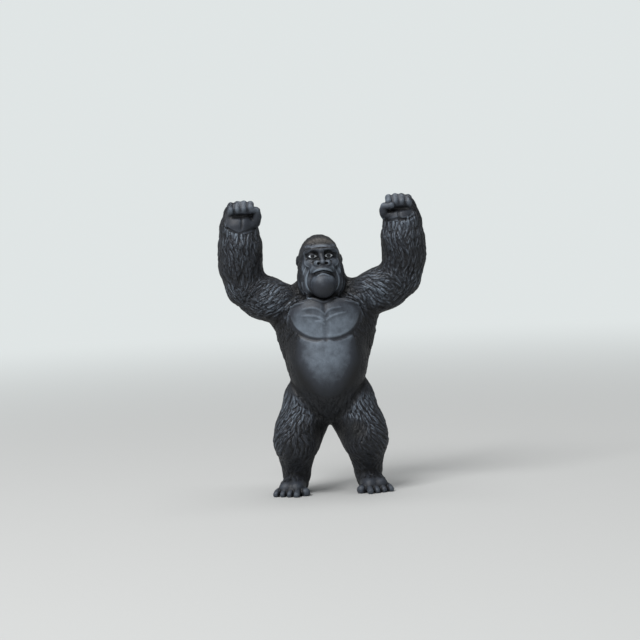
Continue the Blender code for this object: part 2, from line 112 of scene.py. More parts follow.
# Paint
COAT_DARK = (0.0060, 0.0062, 0.0068, 1.0)
COAT_MIDDLE = (0.030, 0.035, 0.045, 1.0)
COAT_MIDDLE_AT = 0.4
COAT_LIGHT = (0.150, 0.182, 0.222, 1.0)
CROWN_DARK = (0.007, 0.007, 0.0065, 1.0)
CROWN_LIGHT = (0.09, 0.083, 0.078, 1.0)
EYE_COLOUR = (0.58, 0.62, 0.66, 1.0)
PUPIL_COLOUR = (0.012, 0.013, 0.016, 1.0)

# Camera and studio, with the lamps as (name, place, size, power)
CAMERA_DISTANCE = 0.430
CAMERA_ELEVATION_DEG = 4.0
CAMERA_AIM = Vector((-0.001163, 0.000113, 0.038882))
CAMERA_ROLL_DEG = 2.8
MM_PER_PIXEL = 0.226
FRAME_PIXELS = 640
SENSOR = 36.0
BACKDROP_COLOUR = (0.745, 0.785, 0.785, 1.0)
FLOOR_COLOUR = (0.42, 0.425, 0.42, 1.0)
FLOOR_ROUGHNESS = 0.7
FLOOR_REACH = 4.0
FLOOR_FADE = (0.06, 0.5)
SURROUND_COLOUR = (0.95, 0.98, 1.0, 1.0)
SURROUND_STRENGTH = 0.3
LAMP_AIM = (0.0, 0.0, 0.035)
LAMPS = (
    ("key", (-0.28, -0.38, 0.58), 0.35, 5.5),
    ("top", (0.0, 0.05, 0.8), 0.5, 3.5),
)


def sided(side, point):
    """The point for the left side (1) or, mirrored, for the right side (-1)."""
    return np.asarray(point, float) * (side, 1.0, 1.0)


def arm(side):
    """The places of the shoulder, elbow and wrist of one side. The right upper arm hangs a little lower."""
    low = 0.0 if side == 1 else 1.0
    shoulder = sided(side, SHOULDER) - (0.0, 0.0, low * RIGHT_SHOULDER_DROP)
    elbow = sided(side, ELBOW) - (0.0, 0.0, low * RIGHT_ELBOW_DROP)
    return shoulder, elbow, sided(side, WRIST)


def on_head(x, y, z):
    """A point of the head, from its middle. The head is turned a little to its left."""
    turn = math.radians(HEAD_TURN_DEG)
    ahead = (x * math.cos(turn) - y * math.sin(turn), x * math.sin(turn) + y * math.cos(turn), z)
    return HEAD + ahead


def curve(points, steps=5):
    """Points of a smooth curve through the points, with this many steps from each to the next."""
    points = np.asarray(points, float)
    padded = np.vstack([2 * points[0] - points[1], points, 2 * points[-1] - points[-2]])
    made = []
    for first, second, third, fourth in zip(padded, padded[1:], padded[2:], padded[3:]):
        for step in range(steps):
            t = step / steps
            made.append(
                second
                + 0.5 * t * (third - first)
                + t**2 * (first - 2.5 * second + 2 * third - 0.5 * fourth)
                + t**3 * (1.5 * (second - third) + 0.5 * (fourth - first))
            )
    return np.array(made + [points[-1]])


def grid_axis(low, high, spans, fine, coarse):
    """Grid places from low to high, fine inside the spans and coarse elsewhere."""
    places = [low]
    while places[-1] < high:
        inside = any(start <= places[-1] <= end for start, end in spans)
        places.append(places[-1] + (fine if inside else coarse))
    return np.array(places)


class Clay:
    """A block of space that holds the distance to the skin at each point of a grid, below zero inside."""

    def __init__(self, axes):
        self.axes = axes
        self.depth = np.full([len(axis) for axis in axes], FAR, np.float32)

    def window(self, low, high):
        """The part of the block between two corners, as its slices and its places."""
        cut = tuple(slice(*np.searchsorted(axis, ends)) for axis, ends in zip(self.axes, zip(low, high)))
        places = [axis[part].astype(np.float32) for axis, part in zip(self.axes, cut)]
        return cut, np.meshgrid(*places, indexing="ij", sparse=True)

    def add(self, shape, blend):
        """Adds a shape, with a fillet of about this size where it meets the rest."""
        low, high, distance = shape
        margin = 1.0 + 1.5 * blend
        cut, places = self.window(low - margin, high + margin)
        old, new = self.depth[cut], distance(*places)
        near = np.maximum(blend - np.abs(old - new), 0.0)
        self.depth[cut] = np.minimum(old, new) - near**2 / (4 * blend)

    def carve(self, shape, blend):
        """Carves a shape out, with its rim rounded by about this size."""
        low, high, distance = shape
        margin = 1.5 * blend
        cut, places = self.window(low - margin, high + margin)
        old, new = self.depth[cut], -distance(*places)
        near = np.maximum(blend - np.abs(old - new), 0.0)
        self.depth[cut] = np.maximum(old, new) + near**2 / (4 * blend)

    def sample(self, points):
        """The distance to the skin at each point, from the grid points around it."""
        total = np.zeros(len(points))
        corners, shares = [], []
        for values, axis in zip(points.T, self.axes):
            upper = np.clip(np.searchsorted(axis, values), 1, len(axis) - 1)
            share = np.clip((values - axis[upper - 1]) / (axis[upper] - axis[upper - 1]), 0.0, 1.0)
            corners.append((upper - 1, upper))
            shares.append((1.0 - share, share))
        for i in (0, 1):
            for j in (0, 1):
                for k in (0, 1):
                    weight = shares[0][i] * shares[1][j] * shares[2][k]
                    total += weight * self.depth[corners[0][i], corners[1][j], corners[2][k]]
        return total

    def slope(self, points, step=0.15):
        """Which way the distance grows at each point, and how fast."""
        moves = np.eye(3) * step
        rises = [self.sample(points + move) - self.sample(points - move) for move in moves]
        return np.stack(rises, axis=1) / (2 * step)

    def settle(self, points):
        """The points moved onto the skin near them, with the way the skin faces there."""
        points = np.array(points, float)
        for _ in range(8):
            slope = self.slope(points)
            steepness = np.maximum((slope**2).sum(axis=1), 0.25)
            points -= slope * (self.sample(points) / steepness)[:, None]
        slope = self.slope(points)
        return points, slope / np.maximum(np.linalg.norm(slope, axis=1), 1e-3)[:, None]

    def front(self, x, z):
        """How far back the skin lies, seen from the front at this place."""
        line = np.arange(self.axes[1][0], 8.0, 0.1)
        places = np.stack([np.full(len(line), x), line, np.full(len(line), z)], axis=1)
        return line[np.argmax(self.sample(places) < 0)]

    def fold(self, points, radius, height, blend=0.2):
        """Raises a fold along the points, thinner at its ends."""
        self.add(self.lay(points, radius, height), blend)

    def crease(self, points, radius, depth, blend=0.15):
        """Cuts a crease along the points, shallower at its ends."""
        self.carve(self.lay(points, radius, 2 * radius - depth), blend)

    def lay(self, points, radius, proud):
        """A tube laid along the skin that stands proud by this much, less at its ends."""
        places, facing = self.settle(points)
        count = len(places)
        swell = np.sqrt(np.sin(np.pi * (np.arange(count) + 0.6) / (count + 0.2)))[:, None]
        return chain(places + facing * (proud - radius) * swell, (radius * swell)[:, 0])

    def skin(self):
        """The skin as places and four-sided faces."""
        grid = openvdb.FloatGrid(FAR)
        grid.copyFromArray(self.depth, tolerance=1e-6)
        points, quads = grid.convertToQuads(isovalue=0.0)
        columns = [np.interp(points[:, i], np.arange(len(axis)), axis) for i, axis in enumerate(self.axes)]
        return np.stack(columns, axis=1), quads


def egg(centre, size, turn=(0.0, 0.0, 0.0)):
    """An egg of these half sizes, turned by these degrees about X, Y and Z."""
    centre, size = np.asarray(centre, float), np.asarray(size, float)
    axes = np.array(Euler([math.radians(angle) for angle in turn]).to_matrix()).T
    reach = np.sqrt(((axes * size[:, None]) ** 2).sum(axis=0))

    def distance(x, y, z):
        x, y, z = x - centre[0], y - centre[1], z - centre[2]
        shares = [(row[0] * x + row[1] * y + row[2] * z) / part for row, part in zip(axes, size)]
        whole = np.sqrt(sum(share**2 for share in shares))
        slope = np.sqrt(sum((share / part) ** 2 for share, part in zip(shares, size)))
        return whole * (whole - 1.0) / np.maximum(slope, 1e-4)

    return centre - reach, centre + reach, distance


def chain(points, radii):
    """A run of tapered limbs with round ends through the points."""
    points, radii = np.asarray(points, float), np.asarray(radii, float)
    low = (points - radii[:, None]).min(axis=0)
    high = (points + radii[:, None]).max(axis=0)

    def distance(x, y, z):
        best = None
        for start, end, start_radius, end_radius in zip(points, points[1:], radii, radii[1:]):
            along = end - start
            px, py, pz = x - start[0], y - start[1], z - start[2]
            share = (px * along[0] + py * along[1] + pz * along[2]) / (along @ along)
            share = np.clip(share, 0.0, 1.0)
            gap = (px - share * along[0]) ** 2 + (py - share * along[1]) ** 2 + (pz - share * along[2]) ** 2
            reach = np.sqrt(gap) - (start_radius + share * (end_radius - start_radius))
            best = reach if best is None else np.minimum(best, reach)
        return best

    return low, high, distance


def limb(start, start_radius, end, end_radius):
    """A tapered limb with round ends."""
    return chain([start, end], [start_radius, end_radius])


def head_curve(points, side=1):
    """A smooth curve through places of the head's frame, mirrored for the right side."""
    return curve([on_head(side * x, y, z) for x, y, z in points])


def both_halves(half):
    """A run of places from right to left, made of its left half, which starts in the middle."""
    return [(-x, y, z) for x, y, z in half[:0:-1]] + half


def front_curve(clay, points, side=1):
    """A smooth curve on the front of the figure through (x, z) places, mirrored for the right side."""
    flat = curve([(side * x, z) for x, z in points])
    return np.array([(x, clay.front(x, z), z) for x, z in flat])


def head_egg(x, y, z, size, tilt=0.0, turn=0.0):
    """An egg in the head's frame."""
    return egg(on_head(x, y, z), size, (tilt, 0.0, HEAD_TURN_DEG + turn))


def model_trunk(clay):
    """The pelvis, belly, ribcage, back, neck, flanks and buttocks."""
    middle = HIP * (0.0, 1.0, 1.0)
    clay.add(egg(middle + (0.0, 0.3, 0.0), (7.8, 6.0, 6.0)), 1.5)
    clay.add(egg(middle + (0.0, -2.2, 8.2), (8.9, 6.8, 10.0)), 2.0)
    clay.add(egg(CHEST + (0.0, 0.1, -0.6), (10.5, 7.2, 8.8)), 2.5)
    clay.add(egg(CHEST + (0.0, 3.9, 3.2), (9.4, 5.2, 8.2), (-12.0, 0.0, 0.0)), 2.0)
    clay.add(limb(NECK, 5.3, HEAD + (0.55, 1.8, -1.2), 4.2), 1.5)
    for side in (1, -1):
        shoulder = arm(side)[0]
        clay.add(egg(middle + sided(side, (4.2, 3.0, -1.0)), (4.6, 4.0, 4.8)), 1.5)
        flank = limb(CHEST + sided(side, (8.3, 1.8, 0.6)), 3.5, CHEST + sided(side, (6.6, 1.4, -9.0)), 2.5)
        clay.add(flank, 2.0)
        nape = limb(NECK + sided(side, (3.0, 1.6, -3.4)), 3.0, shoulder + sided(side, (-0.4, 0.2, 0.4)), 3.8)
        clay.add(nape, 1.8)


def model_limbs(clay):
    """The arms and legs, without hands and feet."""
    for side in (1, -1):
        clay.add(limb(sided(side, HIP), 5.1, sided(side, KNEE), 4.6), 1.6)
        outer_thigh = 0.78 * KNEE + 0.22 * HIP + (0.7, 0.8, 0.0)
        clay.add(egg(sided(side, outer_thigh), (4.6, 4.8, 5.3)), 1.5)
        calf = 0.55 * KNEE + 0.45 * ANKLE + (0.0, 0.8, 0.0)
        clay.add(chain([sided(side, place) for place in (KNEE, calf, ANKLE)], [4.6, 3.9, 3.0]), 1.2)
        inner_thigh = limb(sided(side, (2.6, -0.4, 15.3)), 2.1, sided(side, (4.9, -1.4, 11.5)), 2.5)
        clay.add(inner_thigh, 1.0)
        shoulder, elbow, wrist = arm(side)
        clay.add(limb(shoulder, 4.5, elbow, 4.2), 1.8)
        clay.add(egg((shoulder + elbow) / 2 + (0.0, -0.6, -0.4), (5.8, 4.6, 4.6)), 1.6)
        low_forearm = 0.64 * elbow + 0.36 * wrist + sided(side, (0.7, 0.0, 0.0))
        top_forearm = 0.32 * elbow + 0.68 * wrist + sided(side, (0.3, 0.0, 0.0))
        clay.add(chain([elbow, low_forearm, top_forearm, wrist], [4.2, 4.9, 4.9, 4.0]), 1.2)
        back_of_hand = sided(side, FIST + (1.2, 1.1, 0.2))
        clay.add(limb(wrist + sided(side, (0.4, 0.3, 0.0)), 4.0, back_of_hand, 2.8), 1.0)


def model_skull(clay):
    """The skull, crest, jaw and cheeks: the large masses of the head."""
    clay.add(head_egg(0.0, 1.4, 0.4, (4.75, 5.1, 5.1)), 1.0)
    clay.add(head_egg(0.1, 1.6, 2.35, (3.65, 4.3, 3.7), 18.0), 1.4)
    clay.add(head_egg(0.0, -1.5, 2.0, (3.8, 2.4, 2.4)), 1.2)
    clay.add(head_egg(0.0, -1.2, -4.5, (4.4, 3.8, 3.8)), 1.2)
    for side in (1, -1):
        clay.add(head_egg(side * 2.6, -0.4, -3.1, (2.7, 3.6, 4.7)), 1.0)


def model_chest(clay):
    """The bare shield of the chest with its creases and wrinkles, and the folds at the shoulders."""
    for side in (1, -1):
        pectoral = egg(CHEST + sided(side, (3.2, -5.3, 1.3)), (5.4, 2.0, 4.6), (6.0, 0.0, side * 14.0))
        clay.add(pectoral, 0.6)
    for side in (1, -1):
        lower_edge = [(8.0, 40.4), (7.2, 38.0), (5.2, 36.0), (2.4, 35.1), (0.3, 35.3)]
        clay.crease(front_curve(clay, lower_edge, side), 0.5, 0.3, 0.4)
        for step in range(3):
            rise = 0.62 * step
            shoulder_fold = [(4.6 + 0.4 * step, 43.4 + rise), (6.8, 42.7 + rise), (8.8, 41.2 + rise)]
            clay.fold(front_curve(clay, shoulder_fold, side), 0.34, 0.28, 0.12)
    clay.crease(front_curve(clay, [(0.0, 42.8), (0.1, 39.0), (0.0, 35.0)]), 0.8, 0.15, 0.6)
    wrinkles = [
        [(-5.0, 41.9), (-2.8, 42.2), (-1.2, 41.7), (-0.2, 40.8)],
        [(0.0, 40.6), (0.7, 41.5), (1.8, 41.9), (3.6, 42.1)],
        [(-5.2, 40.5), (-2.9, 40.5), (-1.4, 40.1), (-0.3, 39.3)],
        [(0.2, 39.4), (1.2, 40.1), (2.7, 40.6), (4.6, 40.9)],
        [(-2.0, 39.2), (-1.0, 39.1), (-0.2, 38.5)],
    ]
    for wrinkle in wrinkles:
        clay.fold(front_curve(clay, wrinkle), 0.24, 0.1, 0.25)


def model_groin(clay):
    """The creases of the groin, below the bare belly."""
    for side in (1, -1):
        groin = [(8.3, 25.2), (6.2, 22.0), (3.6, 18.8), (1.6, 17.2)]
        clay.crease(front_curve(clay, groin, side), 0.6, 0.35, 0.7)


def model_eye(clay, side):
    """One eye: the socket under the brow, the eyeball, the lids and the ring of skin around it."""
    x, y, z = EYE[0] + side * EYE_SHIFT, EYE[1], EYE[2]
    ring = [(3.1, -3.6, 2.95), (3.7, -3.0, 2.3), (3.75, -2.9, 1.5)]
    ring += [(3.55, -3.0, 0.75), (3.1, -3.4, 0.0), (2.5, -3.9, -0.5)]
    clay.carve(head_egg(side * x, -5.2, z + 0.35, (1.5, 1.4, 1.1)), 0.25)
    clay.add(head_egg(side * x, y, z, (EYE_RADIUS,) * 3), 0.12)
    upper_lid = [(x - 1.1, -4.0, z - 0.05), (x - 0.1, -4.2, z + 0.56), (x + 1.1, -3.7, z + 0.05)]
    lower_lid = [(x - 1.0, -4.0, z - 0.25), (x, -4.2, z - 0.56), (x + 1.05, -3.7, z - 0.15)]
    eye_bag = [(x - 0.8, -4.2, z - 0.85), (x + 0.1, -4.2, z - 1.2), (x + 1.15, -3.6, z - 0.75)]
    clay.fold(head_curve(upper_lid, side), 0.2, 0.15, 0.08)
    clay.fold(head_curve(lower_lid, side), 0.17, 0.11, 0.08)
    clay.fold(head_curve(eye_bag, side), 0.2, 0.12, 0.12)
    clay.fold(head_curve(ring, side), 0.3, 0.26, 0.12)


def model_nose(clay):
    """The bridge, the tip and the two round wings with their nostrils."""
    clay.add(limb(on_head(-0.1, -3.9, 2.5), 0.65, on_head(0.0, -5.3, 0.85), 0.55), 0.4)
    clay.add(head_egg(0.0, -5.75, 0.3, (0.62, 0.78, 0.6)), 0.3)
    for side in (1, -1):
        clay.add(head_egg(side * 1.05, -5.35, 0.0, (0.85, 0.95, 0.75)), 0.2)
    for side in (1, -1):
        wing = [(0.35, -5.6, 0.95), (1.2, -5.2, 0.85), (1.95, -4.6, 0.15), (1.7, -4.9, -0.65)]
        clay.crease(head_curve(wing, side), 0.2, 0.15, 0.1)
        clay.carve(head_egg(side * 0.88, -6.4, -0.02, (0.38, 0.85, 0.3)), 0.1)
        glabella = [(0.2, -4.7, 2.8), (0.45, -4.7, 2.3), (0.35, -4.7, 1.6)]
        clay.fold(head_curve(glabella, side), 0.2, 0.1, 0.15)


def model_mouth(clay):
    """The frowning mouth: both lips, the line between them and the pits at its corners."""
    upper_lip = both_halves([(0.0, -6.4, -1.25), (1.3, -6.0, -1.5), (2.4, -5.2, -2.2)])
    lower_lip = both_halves([(0.0, -6.7, -2.2), (0.8, -6.5, -2.3), (1.6, -6.1, -2.7)])
    line = both_halves([(0.0, -6.5, -1.8), (1.4, -6.0, -2.05), (2.5, -5.1, -2.75)])
    clay.fold(head_curve(upper_lip), 0.36, 0.3, 0.15)
    clay.fold(head_curve(lower_lip), 0.3, 0.24, 0.12)
    clay.crease(head_curve(line), 0.17, 0.3, 0.05)
    for side in (1, -1):
        clay.carve(head_egg(side * 2.5, -5.3, -2.7, (0.26, 0.5, 0.22)), 0.12)


def model_cheek(clay, side):
    """The three folds of one cheek and the fold beside the nose."""
    inner = [(2.8, -4.2, -0.9), (3.3, -4.1, -2.2), (3.65, -3.9, -3.6)]
    inner += [(3.4, -3.8, -5.2), (2.5, -3.9, -6.6), (1.4, -4.1, -7.3)]
    middle = [(3.5, -3.5, -0.6), (4.15, -3.2, -2.4), (4.4, -3.0, -4.0)]
    middle += [(4.1, -2.8, -5.6), (3.2, -2.8, -7.0), (2.1, -2.9, -7.8)]
    outer = [(4.3, -2.4, -0.6), (4.95, -2.0, -2.6), (5.05, -1.8, -4.2), (4.5, -1.8, -5.8), (3.8, -1.9, -7.0)]
    for cheek_fold in (inner, middle, outer):
        clay.fold(head_curve(cheek_fold, side), 0.32, 0.24, 0.14)
    nasolabial = [(1.9, -5.1, -0.9), (2.45, -4.7, -1.6), (2.75, -4.5, -2.3)]
    clay.fold(head_curve(nasolabial, side), 0.35, 0.18, 0.2)


def model_ear(clay, side):
    """One small ear with its hollow."""
    clay.add(head_egg(side * 4.65, 1.2, 0.4, (0.5, 1.1, 1.2), -10.0, -24.0 * side), 0.2)
    clay.carve(head_egg(side * 5.1, 0.6, 0.45, (0.28, 0.55, 0.75), -10.0, -24.0 * side), 0.15)


def model_head_folds(clay):
    """The brow with its groove, the tuft above it, the cheeks, the ears and the collar below the chin."""
    groove = [(-3.8, -2.4, 2.6), (-2.9, -3.3, 3.15), (-1.5, -4.2, 3.34), (0.0, -4.4, 3.28)]
    groove += [(1.5, -4.2, 3.38), (2.9, -3.3, 3.25), (3.8, -2.4, 2.7)]
    brow = [(-4.0, -2.0, 3.1), (-2.4, -3.3, 3.85), (0.0, -3.7, 3.78), (2.4, -3.3, 3.9), (4.0, -2.0, 3.25)]
    tuft = [(-2.7, -2.4, 4.5), (-1.5, -2.8, 5.1), (0.1, -2.9, 5.3), (1.6, -2.8, 5.1), (2.8, -2.4, 4.4)]
    clay.fold(head_curve(brow), 0.34, 0.3, 0.15)
    clay.crease(head_curve(groove), 0.24, 0.42, 0.06)
    clay.fold(head_curve(tuft), 0.3, 0.2, 0.15)
    for side in (1, -1):
        model_cheek(clay, side)
        model_ear(clay, side)
    collar = both_halves([(0.0, -4.8, -8.4), (2.5, -4.0, -8.0), (4.4, -2.8, -7.0)])
    clay.fold(head_curve(collar), 0.5, 0.55, 0.15)


def model_face(clay):
    """The muzzle, brow, chin, eyes, nose, mouth and folds of the face."""
    clay.add(head_egg(0.0, -4.1, -1.2, (2.75, 2.2, 1.9)), 0.8)
    for side in (1, -1):
        brow = [on_head(0.0, -4.3, 2.85), on_head(side * 1.9, -4.05, 3.0), on_head(side * 3.3, -2.8, 2.5)]
        clay.add(chain(brow, [0.62, 0.64, 0.55]), 0.3)
        clay.add(head_egg(side * 2.1, -3.3, 0.0, (1.6, 1.2, 1.1)), 0.6)
    for side in (1, -1):
        model_eye(clay, side)
    model_nose(clay)
    clay.add(head_egg(0.05, -4.55, -4.85, (2.85, 2.65, 3.0)), 0.25)
    model_mouth(clay)
    model_head_folds(clay)


def on_fist(side, across, forward, height):
    """A point of a fist, from its middle. Across is towards the little finger, forward is out of the palm."""
    return sided(side, FIST + (across, -forward, height))


def model_fist(clay, side):
    """A closed fist, palm to the front, with the right thumb beside the fingers and the left one below."""
    clay.add(egg(on_fist(side, 0.0, -0.4, -0.3), (3.15, 2.0, 3.1)), 0.4)
    for finger in range(4):
        across = (finger - 1.5) * FINGER_PITCH
        drop = 0.16 * abs(finger - 1.4)
        lift = 0.35 if finger == 0 else 0.0
        places = [
            on_fist(side, across * 0.94, -1.1, 2.4 - drop),
            on_fist(side, across, 1.9, 2.75 - drop),
            on_fist(side, across, 2.75, 1.65 - drop + lift),
            on_fist(side, across * 0.97, 2.2, 1.0 - drop + lift),
        ]
        radii = [FINGER_RADIUS, FINGER_RADIUS, FINGER_RADIUS * 0.97, FINGER_RADIUS * 0.9]
        clay.add(chain(places, radii), 0.3)
    clay.add(egg(on_fist(side, 0.0, 1.8, 1.6), (2.7, 1.35, 1.6)), 0.3)
    if side == 1:
        pads = [((-1.8, 1.3, -1.3), (2.0, 1.3, 1.0)), ((1.5, 1.5, -1.2), (1.15, 1.1, 0.95))]
        thumb = [(-3.0, 0.9, -1.3), (-3.45, 1.9, -0.3), (-3.3, 2.5, 0.7), (-1.7, 3.0, 0.85)]
        thumb_radii = [1.1, 1.0, 0.8, 0.78]
        creases = [[(3.1, 1.8, -1.7), (1.6, 2.2, -2.4), (-0.4, 2.2, -2.3), (-2.6, 1.9, -2.6)]]
    else:
        pads = [((-1.6, 1.3, -1.9), (1.9, 1.3, 1.25)), ((1.7, 1.2, -1.9), (1.5, 1.2, 1.3))]
        thumb = [(-3.0, 0.9, -1.5), (-3.5, 1.4, -0.3), (-3.6, 2.1, 1.1), (-2.5, 2.7, 1.35)]
        thumb_radii = [1.15, 1.05, 0.85, 0.7]
        creases = [
            [(4.0, 0.8, -1.6), (2.4, 1.9, -2.7), (0.5, 2.2, -3.9)],
            [(0.5, 2.2, -3.9), (-1.4, 2.2, -3.2), (-3.1, 1.6, -2.9)],
        ]
    for place, size in pads:
        clay.add(egg(on_fist(side, *place), size), 0.2)
    clay.carve(egg(on_fist(side, 0.1, 3.1, -0.05), (2.2, 1.0, 0.45)), 0.5)
    clay.add(chain([on_fist(side, *place) for place in thumb], thumb_radii), 0.2)
    palm_line = [(0.0, 2.2, -1.2), (0.15, 2.2, -2.1), (0.3, 2.0, -3.0)]
    clay.crease(curve([on_fist(side, *place) for place in palm_line]), 0.3, 0.2, 0.3)
    for line in creases:
        clay.crease(curve([on_fist(side, *place) for place in line]), 0.3, 0.2, 0.2)


def model_foot(clay, side):
    """A flat foot with four toes in front and the big toe set apart on the inner side."""
    ankle = sided(side, ANKLE)
    heel = np.array([ankle[0], ankle[1] + 1.2, HEEL_RADIUS - SOLE_CUT])
    turn = math.radians(side * TOE_OUT_DEG)

    def on_foot(across, forward, height):
        """A point of the foot, from the middle of the heel."""
        over = side * across
        x = heel[0] + over * math.cos(turn) + forward * math.sin(turn)
        y = heel[1] + over * math.sin(turn) - forward * math.cos(turn)
        return np.array([x, y, height])

    ball_height = BALL_OF_FOOT_RADIUS - SOLE_CUT
    clay.add(limb(ankle, 3.0, heel, HEEL_RADIUS), 0.6)
    for across in (-FOOT_HALF_WIDTH / 2, FOOT_HALF_WIDTH / 2):
        pad = on_foot(across, HEEL_TO_BALL, ball_height)
        clay.add(limb(heel, HEEL_RADIUS, pad, BALL_OF_FOOT_RADIUS), 0.5)
        clay.add(limb(ankle + (0.0, -0.8, -0.6), 2.3, pad, BALL_OF_FOOT_RADIUS), 0.6)
    toe_height = TOE_RADIUS - SOLE_CUT
    for toe in range(4):
        across = (toe / 3 - 0.36) * 2 * FOOT_HALF_WIDTH
        root = on_foot(across, HEEL_TO_BALL, toe_height + 0.5)
        joint = on_foot(across * 1.08, HEEL_TO_BALL + 2.0 - 0.3 * toe, toe_height + 0.35)
        tip = on_foot(across * 1.12, HEEL_TO_BALL + 3.0 - 0.35 * toe, toe_height)
        clay.add(chain([root, joint, tip], [TOE_RADIUS, TOE_RADIUS * 0.95, TOE_RADIUS * 0.9]), 0.12)
    big_root = on_foot(-FOOT_HALF_WIDTH * 0.6, HEEL_TO_BALL - 2.0, BIG_TOE_RADIUS - SOLE_CUT + 0.2)
    big_tip = on_foot(-FOOT_HALF_WIDTH * 1.55, HEEL_TO_BALL + 1.0, BIG_TOE_RADIUS - SOLE_CUT)
    clay.add(limb(big_root, BIG_TOE_RADIUS * 1.1, big_tip, BIG_TOE_RADIUS), 0.3)


def sculpt():
    """The whole figure in clay."""
    scale = 1.0
    axes = [grid_axis(*spans, FINE_STEP * scale, COARSE_STEP * scale) for spans in GRID_AXES]
    clay = Clay(axes)
    model_trunk(clay)
    model_limbs(clay)
    model_skull(clay)
    model_chest(clay)
    model_groin(clay)
    model_face(clay)
    for side in (1, -1):
        model_fist(clay, side)
        model_foot(clay, side)
    clay.depth = np.maximum(clay.depth, -axes[2].astype(np.float32)[None, None, :])
    return clay


def hair_of_arm(side):
    """Notes on the hair of one forearm, elbow, upper arm and neck, as lie_of_hair describes them."""
    drop = (0.0, 0.0, 0.0 if side == 1 else RIGHT_SHOULDER_DROP)
    shoulder, elbow = SHOULDER - drop, ELBOW - drop
    along_arm = (elbow - shoulder) / np.linalg.norm(elbow - shoulder)
    at_wrist = [
        ((3.9, 0.0, 1.0), 0.0, 0.9, 0.14),
        ((0.0, -3.9, -1.0), 0.15, 0.8, 0.85),
        ((2.0, -3.4, -3.5), -0.35, 1.0, 0.45),
        ((-2.2, -3.4, -3.5), 0.35, 1.0, 0.5),
        ((0.2, -4.6, -6.0), 0.0, 1.1, 0.4),
        ((4.9, 0.0, -5.5), 0.0, 1.0, 0.2),
        ((-4.6, 0.0, -5.5), 0.2, 1.0, 0.12),
        ((0.0, 4.4, -5.5), 0.0, 1.0, 0.3),
    ]
    at_elbow = [
        ((0.6, -4.5, 3.5), -0.25, 1.2, 0.28),
        ((4.6, 0.0, 3.0), -0.25, 1.0, 0.18),
        ((3.2, -3.0, -0.5), -0.8, 1.2, 0.5),
        ((-0.5, -3.4, -2.8), (-1.0, 0.0, -0.35), 1.1, 0.42),
        ((2.8, -1.0, -3.2), -1.3, 1.1, 0.14),
        ((0.0, 4.4, 0.0), -0.5, 1.0, 0.3),
        ((-1.5, -4.0, 0.4), (0.9, 0.0, -0.5), 1.2, 0.4),
        ((-4.5, -4.2, -1.0), (0.8, 0.0, -0.55), 1.0, 0.65),
    ]
    at_shoulder = [
        ((3.0, -4.6, 1.5), (0.75, 0.0, -0.6), 0.9, 0.7),
        ((0.5, -4.8, -0.5), (0.75, 0.0, -0.65), 0.8, 0.65),
        ((4.0, -3.4, -3.4), (0.8, 0.0, -0.6), 0.9, 0.14),
        ((4.5, 0.0, 5.5), along_arm, 0.8, 0.06),
        ((4.5, 4.4, 1.5), along_arm + (0.0, 0.0, -0.6), 1.0, 0.35),
        ((4.5, 0.0, -4.5), along_arm, 0.8, 0.06),
        ((-2.5, -3.0, 2.8), (0.9, 0.0, -0.35), 0.8, 0.35),
        ((-2.0, 1.0, 5.0), (1.0, 0.3, 0.2), 0.8, 0.06),
    ]
    at_neck = [
        ((4.5, -2.5, -2.5), (0.6, -0.3, -0.8), 0.9, 0.22),
        ((4.0, 1.0, -1.0), (0.8, -0.1, -0.5), 0.9, 0.06),
        ((3.0, 5.0, 1.0), 0.35, 1.0, 0.3),
    ]
    return [(WRIST, at_wrist), (elbow, at_elbow), (shoulder, at_shoulder), (NECK, at_neck)]


def hair_of_trunk():
    """Notes on the hair of the back, the buttocks and the flanks."""
    back = [
        ((3.5, 8.5, 5.0), 0.2, 1.0, 0.5),
        ((3.0, 8.0, -4.0), 0.1, 1.0, 0.45),
        ((3.0, 6.5, -11.0), 0.0, 1.0, 0.35),
    ]
    flank = [
        ((9.8, -3.0, -0.5), 0.55, 1.0, 0.16),
        ((9.5, 1.0, -4.0), (0.4, 0.2, -1.0), 1.0, 0.14),
        ((8.8, -1.0, -9.5), 0.0, 0.6, 0.08),
        ((7.6, -4.5, -6.0), 0.0, 0.3, 0.12),
    ]
    groin = [((2.0, -5.0, 3.5), -0.5, 0.2, 0.08), ((-3.0, -6.0, -0.5), -0.25, 0.5, 0.12)]
    return [(CHEST, back), (HIP, [((0.0, 6.5, -1.0), 0.25, 0.9, 0.3)]), (CHEST, flank), (HIP, groin)]


def hair_of_leg(side):
    """Notes on the hair of one thigh, where it parts along the front, and of the shin."""
    # The inner thighs are painted dark as painted shade, the left one darker than the right.
    inner_relief, inner_light, outward = (0.5, 0.04, 2.6) if side == 1 else (1.3, 0.22, 1.2)
    thigh = [
        ((3.2, -4.0, -1.0), 0.6, 0.9, 0.65),
        ((1.4, -5.4, -3.6), 0.3, 1.0, 0.6),
        ((5.2, 0.0, -4.0), 0.9, 1.1, 0.35),
    ]
    knee = [
        ((2.0, -4.2, 4.5), outward, 1.4, 0.45),
        ((4.0, -2.0, 0.5), outward + 0.6, 1.4, 0.35),
        ((-1.8, -4.2, 3.5), -0.8, inner_relief, inner_light),
        ((-4.4, -0.5, 3.0), 0.0, 0.4, 0.03),
        ((3.0, 5.0, 3.0), 0.3, 1.0, 0.3),
        ((0.5, -4.6, -1.0), 0.8, 1.2, 0.2),
    ]
    shin = [
        ((0.0, -3.0, 3.5), 0.0, 0.8, 0.25),
        ((2.5, 1.5, 2.5), 0.2, 0.8, 0.2),
        ((-2.5, 1.5, 2.5), 0.0, 0.6, 0.12),
    ]
    return [(HIP, thigh), (KNEE, knee), (ANKLE, shin)]


